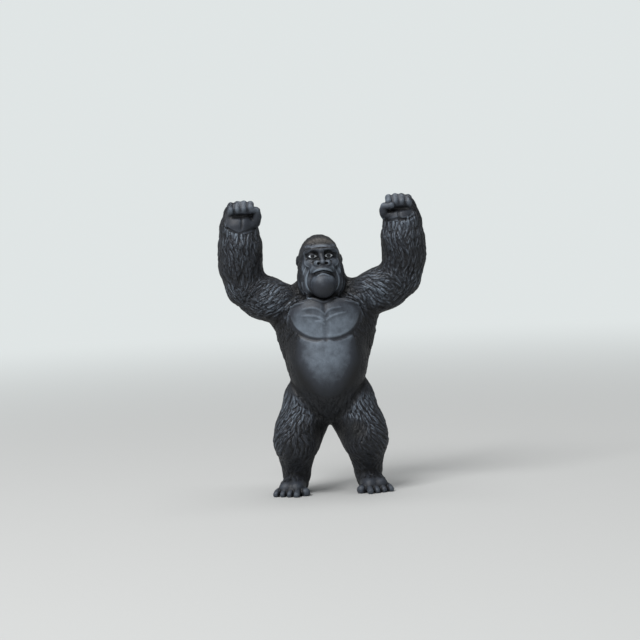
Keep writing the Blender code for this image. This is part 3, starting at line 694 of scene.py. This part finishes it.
def hair_of_head():
    """Notes on the hair of the head."""
    notes = [
        ((2.55, -1.6, 5.0), (0.3, 1.0, 0.3), 0.3, 0.14),
        ((0.55, -1.6, 6.0), (0.1, 1.0, 0.3), 0.3, 0.14),
        ((4.35, -0.8, 2.4), (0.2, 1.0, -0.5), 0.35, 0.2),
        ((5.3, -0.8, -2.5), (0.0, 0.5, -1.0), 0.6, 0.15),
        ((4.6, -2.6, -5.2), (-0.3, 0.1, -1.0), 0.6, 0.5),
        ((3.0, 6.0, 1.0), (0.0, 0.5, -1.0), 0.7, 0.3),
    ]
    return [(HEAD, notes)]


def lie_of_hair():
    """Places on the body with the way the hair lies there, how proud it stands and how light it is painted.

    The notes give each place from a joint. A way that is one number leads down and leans out by that much.
    """
    samples = []
    for side in (1, -1):
        for joint, notes in hair_of_arm(side) + hair_of_trunk() + hair_of_leg(side) + hair_of_head():
            # Each note's lightness holds the paint with painted light and shade: lighter on the fronts of the
            # arms and thighs, darkest on the flanks and inner thighs.
            for offset, way, relief, light in notes:
                if isinstance(way, float):
                    way = (way, 0.0, -1.0)
                samples.append((sided(side, joint + offset), sided(side, way), relief, light))
    return samples


def bare_patches():
    """Eggs, as (centre, half sizes), that hold the parts of the skin with no coat."""
    patches = [
        ((0.0, -8.4, 39.8), (8.4, 6.6, 5.0)),
        ((0.0, -9.4, 30.5), (7.4, 8.0, 8.6)),
        (on_head(0.0, -5.0, -0.2), (5.0, 4.6, 4.6)),
        (on_head(0.0, -4.6, -3.6), (4.1, 4.2, 5.0)),
    ]
    palms = {1: ((-0.8, -2.6, 0.5), (3.7, 3.8, 2.9)), -1: ((-0.4, -2.6, -0.4), (3.7, 3.8, 3.4))}
    for side in (1, -1):
        offset, size = palms[side]
        patches += [
            (sided(side, FIST + offset), size),
            (sided(side, FIST + (-1.0, 0.0, 2.2)), (3.4, 3.2, 1.8)),
            (sided(side, (ANKLE[0] + 0.6, ANKLE[1] - 7.5, 0.6)), (6.0, 6.6, 2.6)),
        ]
    return patches


def coat_share(points):
    """For each point, 1 where the coat is full and 0 on bare skin."""
    share = np.clip((points[:, 2] - 0.3) / 0.5, 0.0, 1.0)
    for centre, size in bare_patches():
        reach = np.linalg.norm((points - np.asarray(centre)) / np.asarray(size), axis=1)
        share = np.minimum(share, np.clip((reach - 1.0) / 0.12, 0.0, 1.0))
    return share


def blend_samples(points, samples):
    """The way, relief and lightness at each point, blended from the samples near it."""
    places = np.array([place for place, _, _, _ in samples])
    values = np.array([[*(way / np.linalg.norm(way)), relief, light] for _, way, relief, light in samples])
    blended = np.empty((len(points), 5))
    for start in range(0, len(points), 20000):
        part = points[start : start + 20000]
        gaps = ((part[:, None, :] - places[None, :, :]) ** 2).sum(axis=2)
        pull = 1.0 / (gaps**2 + 0.5)
        blended[start : start + 20000] = pull @ values / pull.sum(axis=1, keepdims=True)
    return blended


def tangent(ways, normals):
    """The ways laid flat on the skin, at unit length."""
    flat = ways - (ways * normals).sum(axis=1, keepdims=True) * normals
    return flat / np.maximum(np.linalg.norm(flat, axis=1, keepdims=True), 1e-6)


def sway(points, size):
    """A slow, smooth wander between -1 and 1 over the body, with waves of about this size."""
    x, y, z = (points / size).T
    return (
        np.sin(1.9 * x + 1.3 * z + 0.7)
        + np.sin(-1.1 * x + 2.1 * z + 1.7 * y)
        + np.sin(2.3 * z - 1.9 * y + 2.0)
    ) / 3.0


def comb(points, normals, ways, share, tree, plan, blunt, chance):
    """Combs locks over the coat. Gives each point its height in its lock, 0 to 1, and its strand."""
    length, width, spacing, _ = plan
    height = np.zeros(len(points))
    strand = np.zeros(len(points))
    covered = np.zeros(len(points), bool)
    for root in chance.permutation(np.flatnonzero(share > 0.3)):
        if covered[root]:
            continue
        origin, normal = points[root], normals[root]
        covered[[index for _, index, _ in tree.find_range(origin, spacing)]] = True
        lean, bend, wave, size, rank = chance.uniform(-1.0, 1.0, 5)
        way = ways[root] + LOCK_LEAN * lean * np.cross(normal, ways[root])
        way /= np.linalg.norm(way)
        across = np.cross(normal, way)
        long = length * (1.0 + LOCK_STRETCH * size)
        middle = origin + way * long / 2
        near = np.array([index for _, index, _ in tree.find_range(middle, long / 2 + width / 2)])
        if len(near) == 0:
            continue
        offset = points[near] - origin
        along = offset @ way / long
        waver = 0.4 * bend * along**2 * width + 0.08 * width * np.sin(2 * np.pi * (along + wave))
        aside = offset @ across + waver
        inside_length = np.clip(along, 0.0, 1.0)
        if blunt:
            half = width / 2 * np.sqrt(np.clip(1.0 - inside_length**3, 0.01, 1.0))
            rise = (0.3 + 0.7 * along) * np.clip((1.0 - along) / 0.18, 0.0, 1.0)
        else:
            half = width / 2 * (0.35 + 0.65 * np.sin(np.pi * inside_length**0.8))
            rise = np.sqrt(np.sin(np.pi * inside_length**0.8).clip(0.0, 1.0)) * (0.8 + 0.2 * rank)
        over = np.abs(aside) / half
        inside = (along > 0) & (along < 1) & (over < 1) & (np.abs(offset @ normal) < LOCK_REACH)
        profile = np.where(inside, (1.0 - np.minimum(over, 1.0) ** 2) * rise, 0.0)
        higher = profile > height[near]
        taken = near[higher]
        height[taken] = profile[higher]
        strand[taken] = aside[higher] / STRAND_PITCH + 7.0 * rank
    return height, strand


def mesh_of(points, faces):
    """A mesh with these places and faces."""
    mesh = bpy.data.meshes.new(NODE + "_skin")
    sides = faces.shape[1]
    mesh.vertices.add(len(points))
    mesh.vertices.foreach_set("co", points.astype(np.float32).ravel())
    mesh.loops.add(faces.size)
    mesh.loops.foreach_set("vertex_index", faces.astype(np.int32).ravel())
    mesh.polygons.add(len(faces))
    mesh.polygons.foreach_set("loop_start", np.arange(0, faces.size, sides, dtype=np.int32))
    mesh.update(calc_edges=True)
    return mesh


def normals_of(mesh):
    """The way each point of the mesh faces."""
    normals = np.empty(len(mesh.vertices) * 3, np.float32)
    mesh.vertex_normals.foreach_get("vector", normals)
    return normals.reshape(-1, 3).astype(float)


def edges_of(mesh):
    """The ends of each edge of the mesh."""
    edges = np.empty(len(mesh.edges) * 2, np.int32)
    mesh.edges.foreach_get("vertices", edges)
    return edges.reshape(-1, 2).T


def smoothed(points, edges, rounds):
    """The points after this many rounds of moving each to the middle of its neighbours."""
    first, second = edges
    count = np.bincount(first, minlength=len(points)) + np.bincount(second, minlength=len(points))
    for _ in range(rounds):
        columns = []
        for values in points.T:
            total = np.bincount(first, values[second], len(points))
            total += np.bincount(second, values[first], len(points))
            columns.append(0.5 * values + 0.5 * total / count)
        points = np.stack(columns, axis=1)
    return points


def proud_of(points, normals, edges, forms):
    """How proud each point stands of the smoothed skin, in full heights of these forms, -1 to 1."""
    rounds, height = forms
    proud = ((points - smoothed(points, edges, rounds)) * normals).sum(axis=1)
    return np.clip(proud / height, -1.0, 1.0)


def store(mesh, name, values):
    """Stores one number for each point of the mesh."""
    layer = mesh.attributes.new(name, "FLOAT", "POINT")
    layer.data.foreach_set("value", values.astype(np.float32))


def place_on_head(points):
    """The points in the head's own frame."""
    turn = math.radians(HEAD_TURN_DEG)
    offset = points - HEAD
    x = offset[:, 0] * math.cos(turn) + offset[:, 1] * math.sin(turn)
    y = offset[:, 1] * math.cos(turn) - offset[:, 0] * math.sin(turn)
    return x, y, offset[:, 2]


def soft_step(values, low, high):
    """A smooth step from 0 at low to 1 at high."""
    share = np.clip((values - low) / (high - low), 0.0, 1.0)
    return share * share * (3.0 - 2.0 * share)


def hollow_of(points, normals, clay):
    """How hollow the skin is at each point, by how close the clay comes to a place just above it. It is used
    to paint shade into the hollows.
    """
    hollow = np.zeros(len(points))
    for reach in (0.6, 1.3):
        hollow += 0.5 * np.clip(1.0 - clay.sample(points + normals * reach) / reach, 0.0, 1.0)
    return hollow


def face_light(hx, hz):
    """How light the face is painted: painted highlights on the cheeks and lips, painted shade in the sockets
    and on the lower chin, and a dark bridge.
    """
    across = np.abs(hx)
    chin = soft_step(3.3 - across, 0.0, 0.9) * soft_step(-hz, 2.6, 6.0)
    cheek = soft_step(across, 2.3, 3.2) * soft_step(-hz, -0.2, 1.0)
    bridge = np.exp(-((hx / 0.9) ** 2) - ((hz - 1.7) / 1.1) ** 2)
    from_eye = np.abs(hx - EYE_SHIFT) - EYE[0]
    socket = np.exp(-((from_eye / 1.3) ** 2) - ((hz - EYE[2] - 0.1) / 0.9) ** 2)
    brow = np.exp(-(((hz - 2.95) / 0.4) ** 2))
    lower_lip = np.exp(-(((hz + 2.25 + 0.13 * hx**2) / 0.22) ** 2)) * soft_step(2.0 - across, 0.0, 0.8)
    upper_lip = np.exp(-(((hz + 1.35 + 0.14 * hx**2) / 0.25) ** 2)) * soft_step(2.4 - across, 0.0, 0.8)
    lit = 0.14 * cheek + 0.4 * lower_lip + 0.2 * upper_lip
    return np.maximum(0.5 + lit - 0.28 * chin - 0.2 * bridge - 0.12 * brow - 0.42 * socket, 0.05)


def light_of(points, light, share):
    """How light the paint is at each point, 0 to 1, before the fine forms are dry-brushed, with painted light
    and shade on the chest, belly, face and forehead.
    """
    x, y, z = points.T
    front = soft_step(-y, 2.0, 6.0)
    # Blue-grey paint on the bare chest and belly, with painted light on it: a painted highlight over the
    # lower pecs, the top of the chest half as light, and painted shade darkening the belly towards its
    # bottom.
    chest = front * np.exp(-((x / 8.2) ** 6) - ((z - 39.5) / 5.8) ** 4)
    chest *= 0.5 + 0.5 * soft_step(41.5 - z, -1.5, 4.0)
    width = np.clip(2.2 + 0.42 * (z - 21.0), 2.0, 6.3)
    belly = front * np.exp(-((x / width) ** 4) - (np.clip(31.5 - z, 0.0, None) / 8.0) ** 2)
    belly *= soft_step(35.6 - z, 0.0, 1.5)
    bare = np.maximum(0.92 * chest, 0.76 * belly)
    hx, hy, hz = place_on_head(points)
    head = (np.abs(hx) < 6.0) & (hz < 8.0) & (hy < 2.0)
    bare = np.where(head & (hz > -7.9), face_light(hx, hz), bare)
    bare = np.where((z > 59.0) & (np.abs(x) > 12.0), 0.32 + 0.14 * soft_step(z, 63.2, 64.0), bare)
    bare = np.where(z < 4.0, 0.3, bare)
    paint = share * light + (1.0 - share) * bare
    # Painted highlights on the forehead: light bands along the tuft, below it and along the brow fold, on
    # dark paint.
    above_tuft = hz - 5.2 + 0.11 * hx**2
    tuft = np.exp(-((above_tuft / 0.3) ** 2)) * soft_step(3.4 - np.abs(hx), 0.0, 1.0)
    brow_fold_highlight = np.exp(-(((hz - 3.85 + 0.02 * hx**2) / 0.28) ** 2)) * soft_step(4.0 - np.abs(hx), 0.0, 0.8)
    forehead_with_highlights = 0.06 + 0.45 * tuft + 0.14 * soft_step(-above_tuft, 0.0, 0.6) + 0.5 * brow_fold_highlight
    paint = np.where(head & (hz > 3.4), forehead_with_highlights, paint)
    # Painted shade: a dark line along the brow groove, under the edge of the forehead.
    groove_height = 3.36 + 0.03 * hx - 0.75 * np.clip(np.abs(hx) - 2.8, 0.0, 1.2)
    groove = np.exp(-(((hz - groove_height) / 0.15) ** 2)) * soft_step(4.0 - np.abs(hx), 0.0, 0.6)
    return np.where(head & (hy < -1.5), paint * (1.0 - 0.92 * groove), paint)


def dressed_mesh(clay):
    """The skin with its coat combed on and its paint, with painted light and shade, stored on its points."""
    points, faces = clay.skin()
    mesh = mesh_of(points, faces)
    normals, edges = normals_of(mesh), edges_of(mesh)
    bpy.data.meshes.remove(mesh)
    tree = KDTree(len(points))
    for index, point in enumerate(points):
        tree.insert(point, index)
    tree.balance()

    share = coat_share(points)
    blended = blend_samples(points, lie_of_hair())
    relief, light = blended[:, 3], blended[:, 4]
    ways = tangent(blended[:, :3], normals)
    angle = 0.35 * sway(points, 3.2) + 0.15 * sway(points[:, ::-1], 1.7)
    ways = ways * np.cos(angle)[:, None] + np.cross(normals, ways) * np.sin(angle)[:, None]
    chance = np.random.default_rng(SEED)
    clumps, _ = comb(points, normals, ways, share, tree, CLUMPS, True, chance)
    locks, strand = comb(points, normals, ways, share, tree, LOCKS, False, chance)

    raised = (clumps - 0.45) * CLUMPS[3] + (locks - 0.4) * LOCKS[3]
    moved = points + normals * (share * relief * raised)[:, None]
    moved[:, 2] = np.maximum(moved[:, 2], 0.0)

    fine = proud_of(moved, normals, edges, FINE_FORMS)
    broad = proud_of(moved, normals, edges, BROAD_FORMS)
    ridges = fine * 0.6 + broad * 0.6
    hx, _, hz = place_on_head(points)
    crown = soft_step(hz, 3.9, 4.6) * soft_step(5.9 - 0.11 * hx**2 - hz, 0.0, 0.5)

    mesh = mesh_of(moved, faces)
    # The light layer holds the paint's lightness with painted light and shade in it; the hollow layer drives
    # painted shade.
    store(mesh, "light", light_of(points, light, share))
    store(mesh, "ridge", 0.5 + 0.5 * np.clip(ridges, -1.0, 1.0))
    store(mesh, "hollow", hollow_of(points, normals, clay))
    store(mesh, "fur", share * np.clip(relief, 0.0, 1.0))
    store(mesh, "strand", strand)
    store(mesh, "crown", crown)
    return mesh


def thinned(mesh):
    """An object with the mesh brought down to the number of triangles that the part may have."""
    thing = bpy.data.objects.new(NODE + "_coat", mesh)
    bpy.context.scene.collection.objects.link(thing)
    triangles = sum(len(polygon.vertices) - 2 for polygon in mesh.polygons)
    thin = thing.modifiers.new("thin out", "DECIMATE")
    thin.ratio = min(1.0, TRIANGLES / triangles)
    thin.use_collapse_triangulate = True
    bpy.context.view_layer.update()
    graph = bpy.context.evaluated_depsgraph_get()
    light_mesh = bpy.data.meshes.new_from_object(thing.evaluated_get(graph), depsgraph=graph)
    thing.modifiers.remove(thin)
    thing.data = light_mesh
    bpy.data.meshes.remove(mesh)
    light_mesh.transform(Matrix.Scale(MM, 4))
    light_mesh.shade_smooth()
    return thing


class Nodes:
    """A short way to add nodes to a tree and join them."""

    def __init__(self, tree):
        self.tree = tree

    def add(self, kind, inputs=(), **settings):
        """A node with these settings. Each input is a name or number with a value or a socket."""
        node = self.tree.nodes.new(kind)
        for name, value in settings.items():
            setattr(node, name, value)
        for key, value in dict(inputs).items():
            if isinstance(value, bpy.types.NodeSocket):
                self.tree.links.new(value, node.inputs[key])
            else:
                node.inputs[key].default_value = value
        return node

    def math(self, operation, first, second=0.0, clamp=False):
        """The result of one sum."""
        inputs = {0: first, 1: second}
        return self.add("ShaderNodeMath", inputs, operation=operation, use_clamp=clamp).outputs[0]

    def times(self, first, second):
        """The product of two values."""
        return self.math("MULTIPLY", first, second)

    def line(self, value, start, rise):
        """The start plus the value times the rise."""
        return self.math("ADD", start, self.times(value, rise))

    def attribute(self, name):
        """The number that the mesh stores under this name."""
        return self.add("ShaderNodeAttribute", attribute_name=name).outputs["Fac"]

    def mix(self, share, first, second):
        """A colour between two colours."""
        node = self.add("ShaderNodeMix", data_type="RGBA")
        for socket, value in zip((node.inputs[0], node.inputs[6], node.inputs[7]), (share, first, second)):
            if isinstance(value, bpy.types.NodeSocket):
                self.tree.links.new(value, socket)
            else:
                socket.default_value = value
        return node.outputs[2]

    def step(self, value, low, high):
        """A smooth step from 0 at low to 1 at high."""
        inputs = {"Value": value, "From Min": low, "From Max": high}
        node = self.add("ShaderNodeMapRange", inputs, interpolation_type="SMOOTHSTEP")
        return node.outputs["Result"]

    def noise(self, where, size, detail=3.0):
        """Noise with grains of about this size in millimetres."""
        inputs = {"Vector": where, "Scale": 1.0 / (size * MM), "Detail": detail, "Roughness": 0.55}
        return self.add("ShaderNodeTexNoise", inputs).outputs["Fac"]


def eye_paint(nodes, where):
    """How white and how dark the paint of the eyes is: an almond of white around a dark pupil."""
    white, dark = 0.0, 0.0
    for side in (1, -1):
        centre = on_head(side * EYE[0] + EYE_SHIFT, EYE[1] - EYE_RADIUS, EYE[2])
        shift = nodes.add("ShaderNodeVectorMath", {0: where, 1: centre * MM}, operation="SUBTRACT")
        parts = nodes.add("ShaderNodeSeparateXYZ", {0: shift.outputs[0]})
        x, y, z = parts.outputs
        across = nodes.math("DIVIDE", x, EYE_WHITE[0] * MM)
        lid = nodes.times(nodes.math("SUBTRACT", 1.0, nodes.times(across, across)), EYE_WHITE[1] * MM)
        room = nodes.math("SUBTRACT", lid, nodes.math("ABSOLUTE", z))
        near = nodes.math("LESS_THAN", nodes.math("ABSOLUTE", y), 1.6 * MM)
        almond = nodes.times(nodes.step(room, -0.03 * MM, 0.07 * MM), near)
        raised = nodes.math("SUBTRACT", z, 0.06 * MM)
        reach = nodes.math("SQRT", nodes.math("ADD", nodes.times(x, x), nodes.times(raised, raised)))
        outside = nodes.step(reach, (PUPIL_RADIUS - 0.05) * MM, (PUPIL_RADIUS + 0.1) * MM)
        pupil = nodes.math("SUBTRACT", 1.0, outside)
        white = nodes.math("ADD", white, almond)
        dark = nodes.math("ADD", dark, nodes.times(pupil, near))
    return white, dark


def brushed_paint_and_shade(nodes, layers, strands, mottle, grain):
    """How much light paint is brushed on, most on what stands proud, with the stored painted light and shade,
    and painted shade that darkens the hollows.
    """
    brush = nodes.step(layers["ridge"], 0.25, 0.85)
    lit_strands = nodes.times(brush, nodes.line(strands, 0.55, 1.05))
    fur_brush = nodes.math("ADD", nodes.line(strands, 0.05, 0.2), lit_strands)
    bare_brush = nodes.line(layers["ridge"], 0.35, 1.3)
    coat = nodes.times(layers["fur"], nodes.math("SUBTRACT", fur_brush, bare_brush))
    brushed_and_shaded = nodes.times(layers["light"], nodes.math("ADD", bare_brush, coat))
    brushed_and_shaded = nodes.times(brushed_and_shaded, nodes.line(mottle, 0.55, 0.9))
    brushed_and_shaded = nodes.times(brushed_and_shaded, nodes.line(grain, 0.86, 0.28))
    # Painted shade: the paint darkens by up to four fifths where the skin lies hollow.
    shade = nodes.times(nodes.step(layers["hollow"], 0.08, 0.6), 0.8)
    return nodes.times(brushed_and_shaded, nodes.math("SUBTRACT", 1.0, shade))


def coat_colour(nodes, brushed_and_shaded, crown):
    """The blue-grey paint of the coat, browner on the crown."""
    ramp = nodes.add("ShaderNodeValToRGB", {"Fac": brushed_and_shaded})
    stops = ramp.color_ramp.elements
    stops[0].position, stops[0].color = 0.0, COAT_DARK
    stops[1].position, stops[1].color = 1.0, COAT_LIGHT
    stops.new(COAT_MIDDLE_AT).color = COAT_MIDDLE
    brown = nodes.mix(nodes.math("MULTIPLY", brushed_and_shaded, 1.5, True), CROWN_DARK, CROWN_LIGHT)
    return nodes.mix(crown, ramp.outputs["Color"], brown)


def plastic():
    """Matt black plastic with a blue-grey dry-brushed coat, a browner crown, painted eyes, and painted light
    and shade.
    """
    material = bpy.data.materials.new("painted_plastic")
    material.use_nodes = True
    nodes = Nodes(material.node_tree)
    shader = material.node_tree.nodes["Principled BSDF"]
    where = nodes.add("ShaderNodeTexCoord").outputs["Object"]
    layers = {name: nodes.attribute(name) for name in ("light", "ridge", "hollow", "fur", "crown")}
    mottle = nodes.noise(where, 1.6)
    grain = nodes.noise(where, 0.2)
    wave = nodes.math("SINE", nodes.times(nodes.attribute("strand"), 2 * math.pi))
    strands = nodes.times(layers["fur"], nodes.line(wave, 0.5, 0.5))

    brushed_and_shaded = brushed_paint_and_shade(nodes, layers, strands, mottle, grain)
    colour = coat_colour(nodes, brushed_and_shaded, layers["crown"])
    white, dark = eye_paint(nodes, where)
    colour = nodes.mix(white, colour, EYE_COLOUR)
    colour = nodes.mix(nodes.times(dark, white), colour, PUPIL_COLOUR)
    nodes.tree.links.new(colour, shader.inputs["Base Color"])

    nodes.tree.links.new(nodes.line(mottle, 0.44, 0.16), shader.inputs["Roughness"])
    shader.inputs["Specular IOR Level"].default_value = 0.3
    height = nodes.math("ADD", nodes.times(grain, 0.3), nodes.times(mottle, 0.6))
    height = nodes.math("ADD", height, strands)
    bump = nodes.add("ShaderNodeBump", {"Height": height, "Strength": 0.8, "Distance": 0.09 * MM})
    nodes.tree.links.new(bump.outputs["Normal"], shader.inputs["Normal"])
    return material


def build_figure():
    """The figure in place of the plain part."""
    piece = thinned(dressed_mesh(sculpt()))
    piece.data.materials.clear()
    piece.data.materials.append(plastic())
    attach(piece, "root")
    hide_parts(NODE)


def build_camera():
    """The camera at the photograph's angle, rolled so that the figure leans as it does there."""
    tilt, roll = math.radians(CAMERA_ELEVATION_DEG), math.radians(CAMERA_ROLL_DEG)
    back = Vector((0.0, -math.cos(tilt), math.sin(tilt)))
    level = Vector((1.0, 0.0, 0.0))
    upright = back.cross(level)
    across = math.cos(roll) * level - math.sin(roll) * upright
    up = math.sin(roll) * level + math.cos(roll) * upright
    data = bpy.data.cameras.new("camera")
    data.sensor_width = SENSOR
    focal_pixels = CAMERA_DISTANCE / (MM_PER_PIXEL * MM)
    data.lens = SENSOR * focal_pixels / FRAME_PIXELS
    camera = bpy.data.objects.new("camera", data)
    bpy.context.scene.collection.objects.link(camera)
    place = CAMERA_AIM + CAMERA_DISTANCE * back
    camera.matrix_world = Matrix.Translation(place) @ Matrix((across, up, back)).transposed().to_4x4()
    bpy.context.scene.camera = camera


def seen_ray(nodes):
    """1 for what the camera sees, itself or in gloss, and 0 for light that falls on the figure."""
    path = nodes.add("ShaderNodeLightPath")
    return nodes.math("MAXIMUM", path.outputs["Is Camera Ray"], path.outputs["Is Glossy Ray"])


def build_floor():
    """A pale floor that fades into the backdrop a little way off."""
    mesh = bpy.data.meshes.new("floor")
    signs = [(-1, -1), (1, -1), (1, 1), (-1, 1)]
    mesh.from_pydata([(FLOOR_REACH * x, FLOOR_REACH * y, 0.0) for x, y in signs], [], [(0, 1, 2, 3)])
    floor = bpy.data.objects.new("floor", mesh)
    bpy.context.scene.collection.objects.link(floor)
    material = bpy.data.materials.new("floor")
    material.use_nodes = True
    nodes = Nodes(material.node_tree)
    shader = material.node_tree.nodes["Principled BSDF"]
    shader.inputs["Base Color"].default_value = FLOOR_COLOUR
    shader.inputs["Roughness"].default_value = FLOOR_ROUGHNESS
    where = nodes.add("ShaderNodeTexCoord").outputs["Object"]
    reach = nodes.add("ShaderNodeVectorMath", {0: where}, operation="LENGTH").outputs["Value"]
    share = nodes.times(nodes.step(reach, *FLOOR_FADE), seen_ray(nodes))
    glow = nodes.add("ShaderNodeEmission", {"Color": BACKDROP_COLOUR, "Strength": 1.0})
    both = nodes.add("ShaderNodeMixShader", {0: share, 1: shader.outputs[0], 2: glow.outputs[0]})
    output = material.node_tree.nodes["Material Output"]
    nodes.tree.links.new(both.outputs[0], output.inputs["Surface"])
    mesh.materials.append(material)


def build_world():
    """A plain pale surround that gives a soft even light."""
    world = bpy.data.worlds.new("studio")
    bpy.context.scene.world = world
    world.use_nodes = True
    nodes = Nodes(world.node_tree)
    light = world.node_tree.nodes["Background"]
    light.inputs["Color"].default_value = SURROUND_COLOUR
    light.inputs["Strength"].default_value = SURROUND_STRENGTH
    seen = nodes.add("ShaderNodeBackground", {"Color": BACKDROP_COLOUR, "Strength": 1.0})
    camera_ray = nodes.add("ShaderNodeLightPath").outputs["Is Camera Ray"]
    both = nodes.add("ShaderNodeMixShader", {0: camera_ray, 1: light.outputs[0], 2: seen.outputs[0]})
    output = world.node_tree.nodes["World Output"]
    nodes.tree.links.new(both.outputs[0], output.inputs["Surface"])


def build_lamp(name, place, size, power):
    """A soft square lamp at a place, turned to the figure."""
    data = bpy.data.lights.new(name, "AREA")
    data.shape = "SQUARE"
    data.size = size
    data.energy = power
    lamp = bpy.data.objects.new(name, data)
    lamp.location = place
    lamp.rotation_euler = (Vector(LAMP_AIM) - Vector(place)).to_track_quat("-Z", "Y").to_euler()
    bpy.context.scene.collection.objects.link(lamp)


def build_studio():
    """The floor, the surround and the lamps."""
    build_floor()
    build_world()
    for lamp in LAMPS:
        build_lamp(*lamp)
    bpy.context.scene.view_settings.view_transform = "Standard"


build_camera()
build_figure()
build_studio()
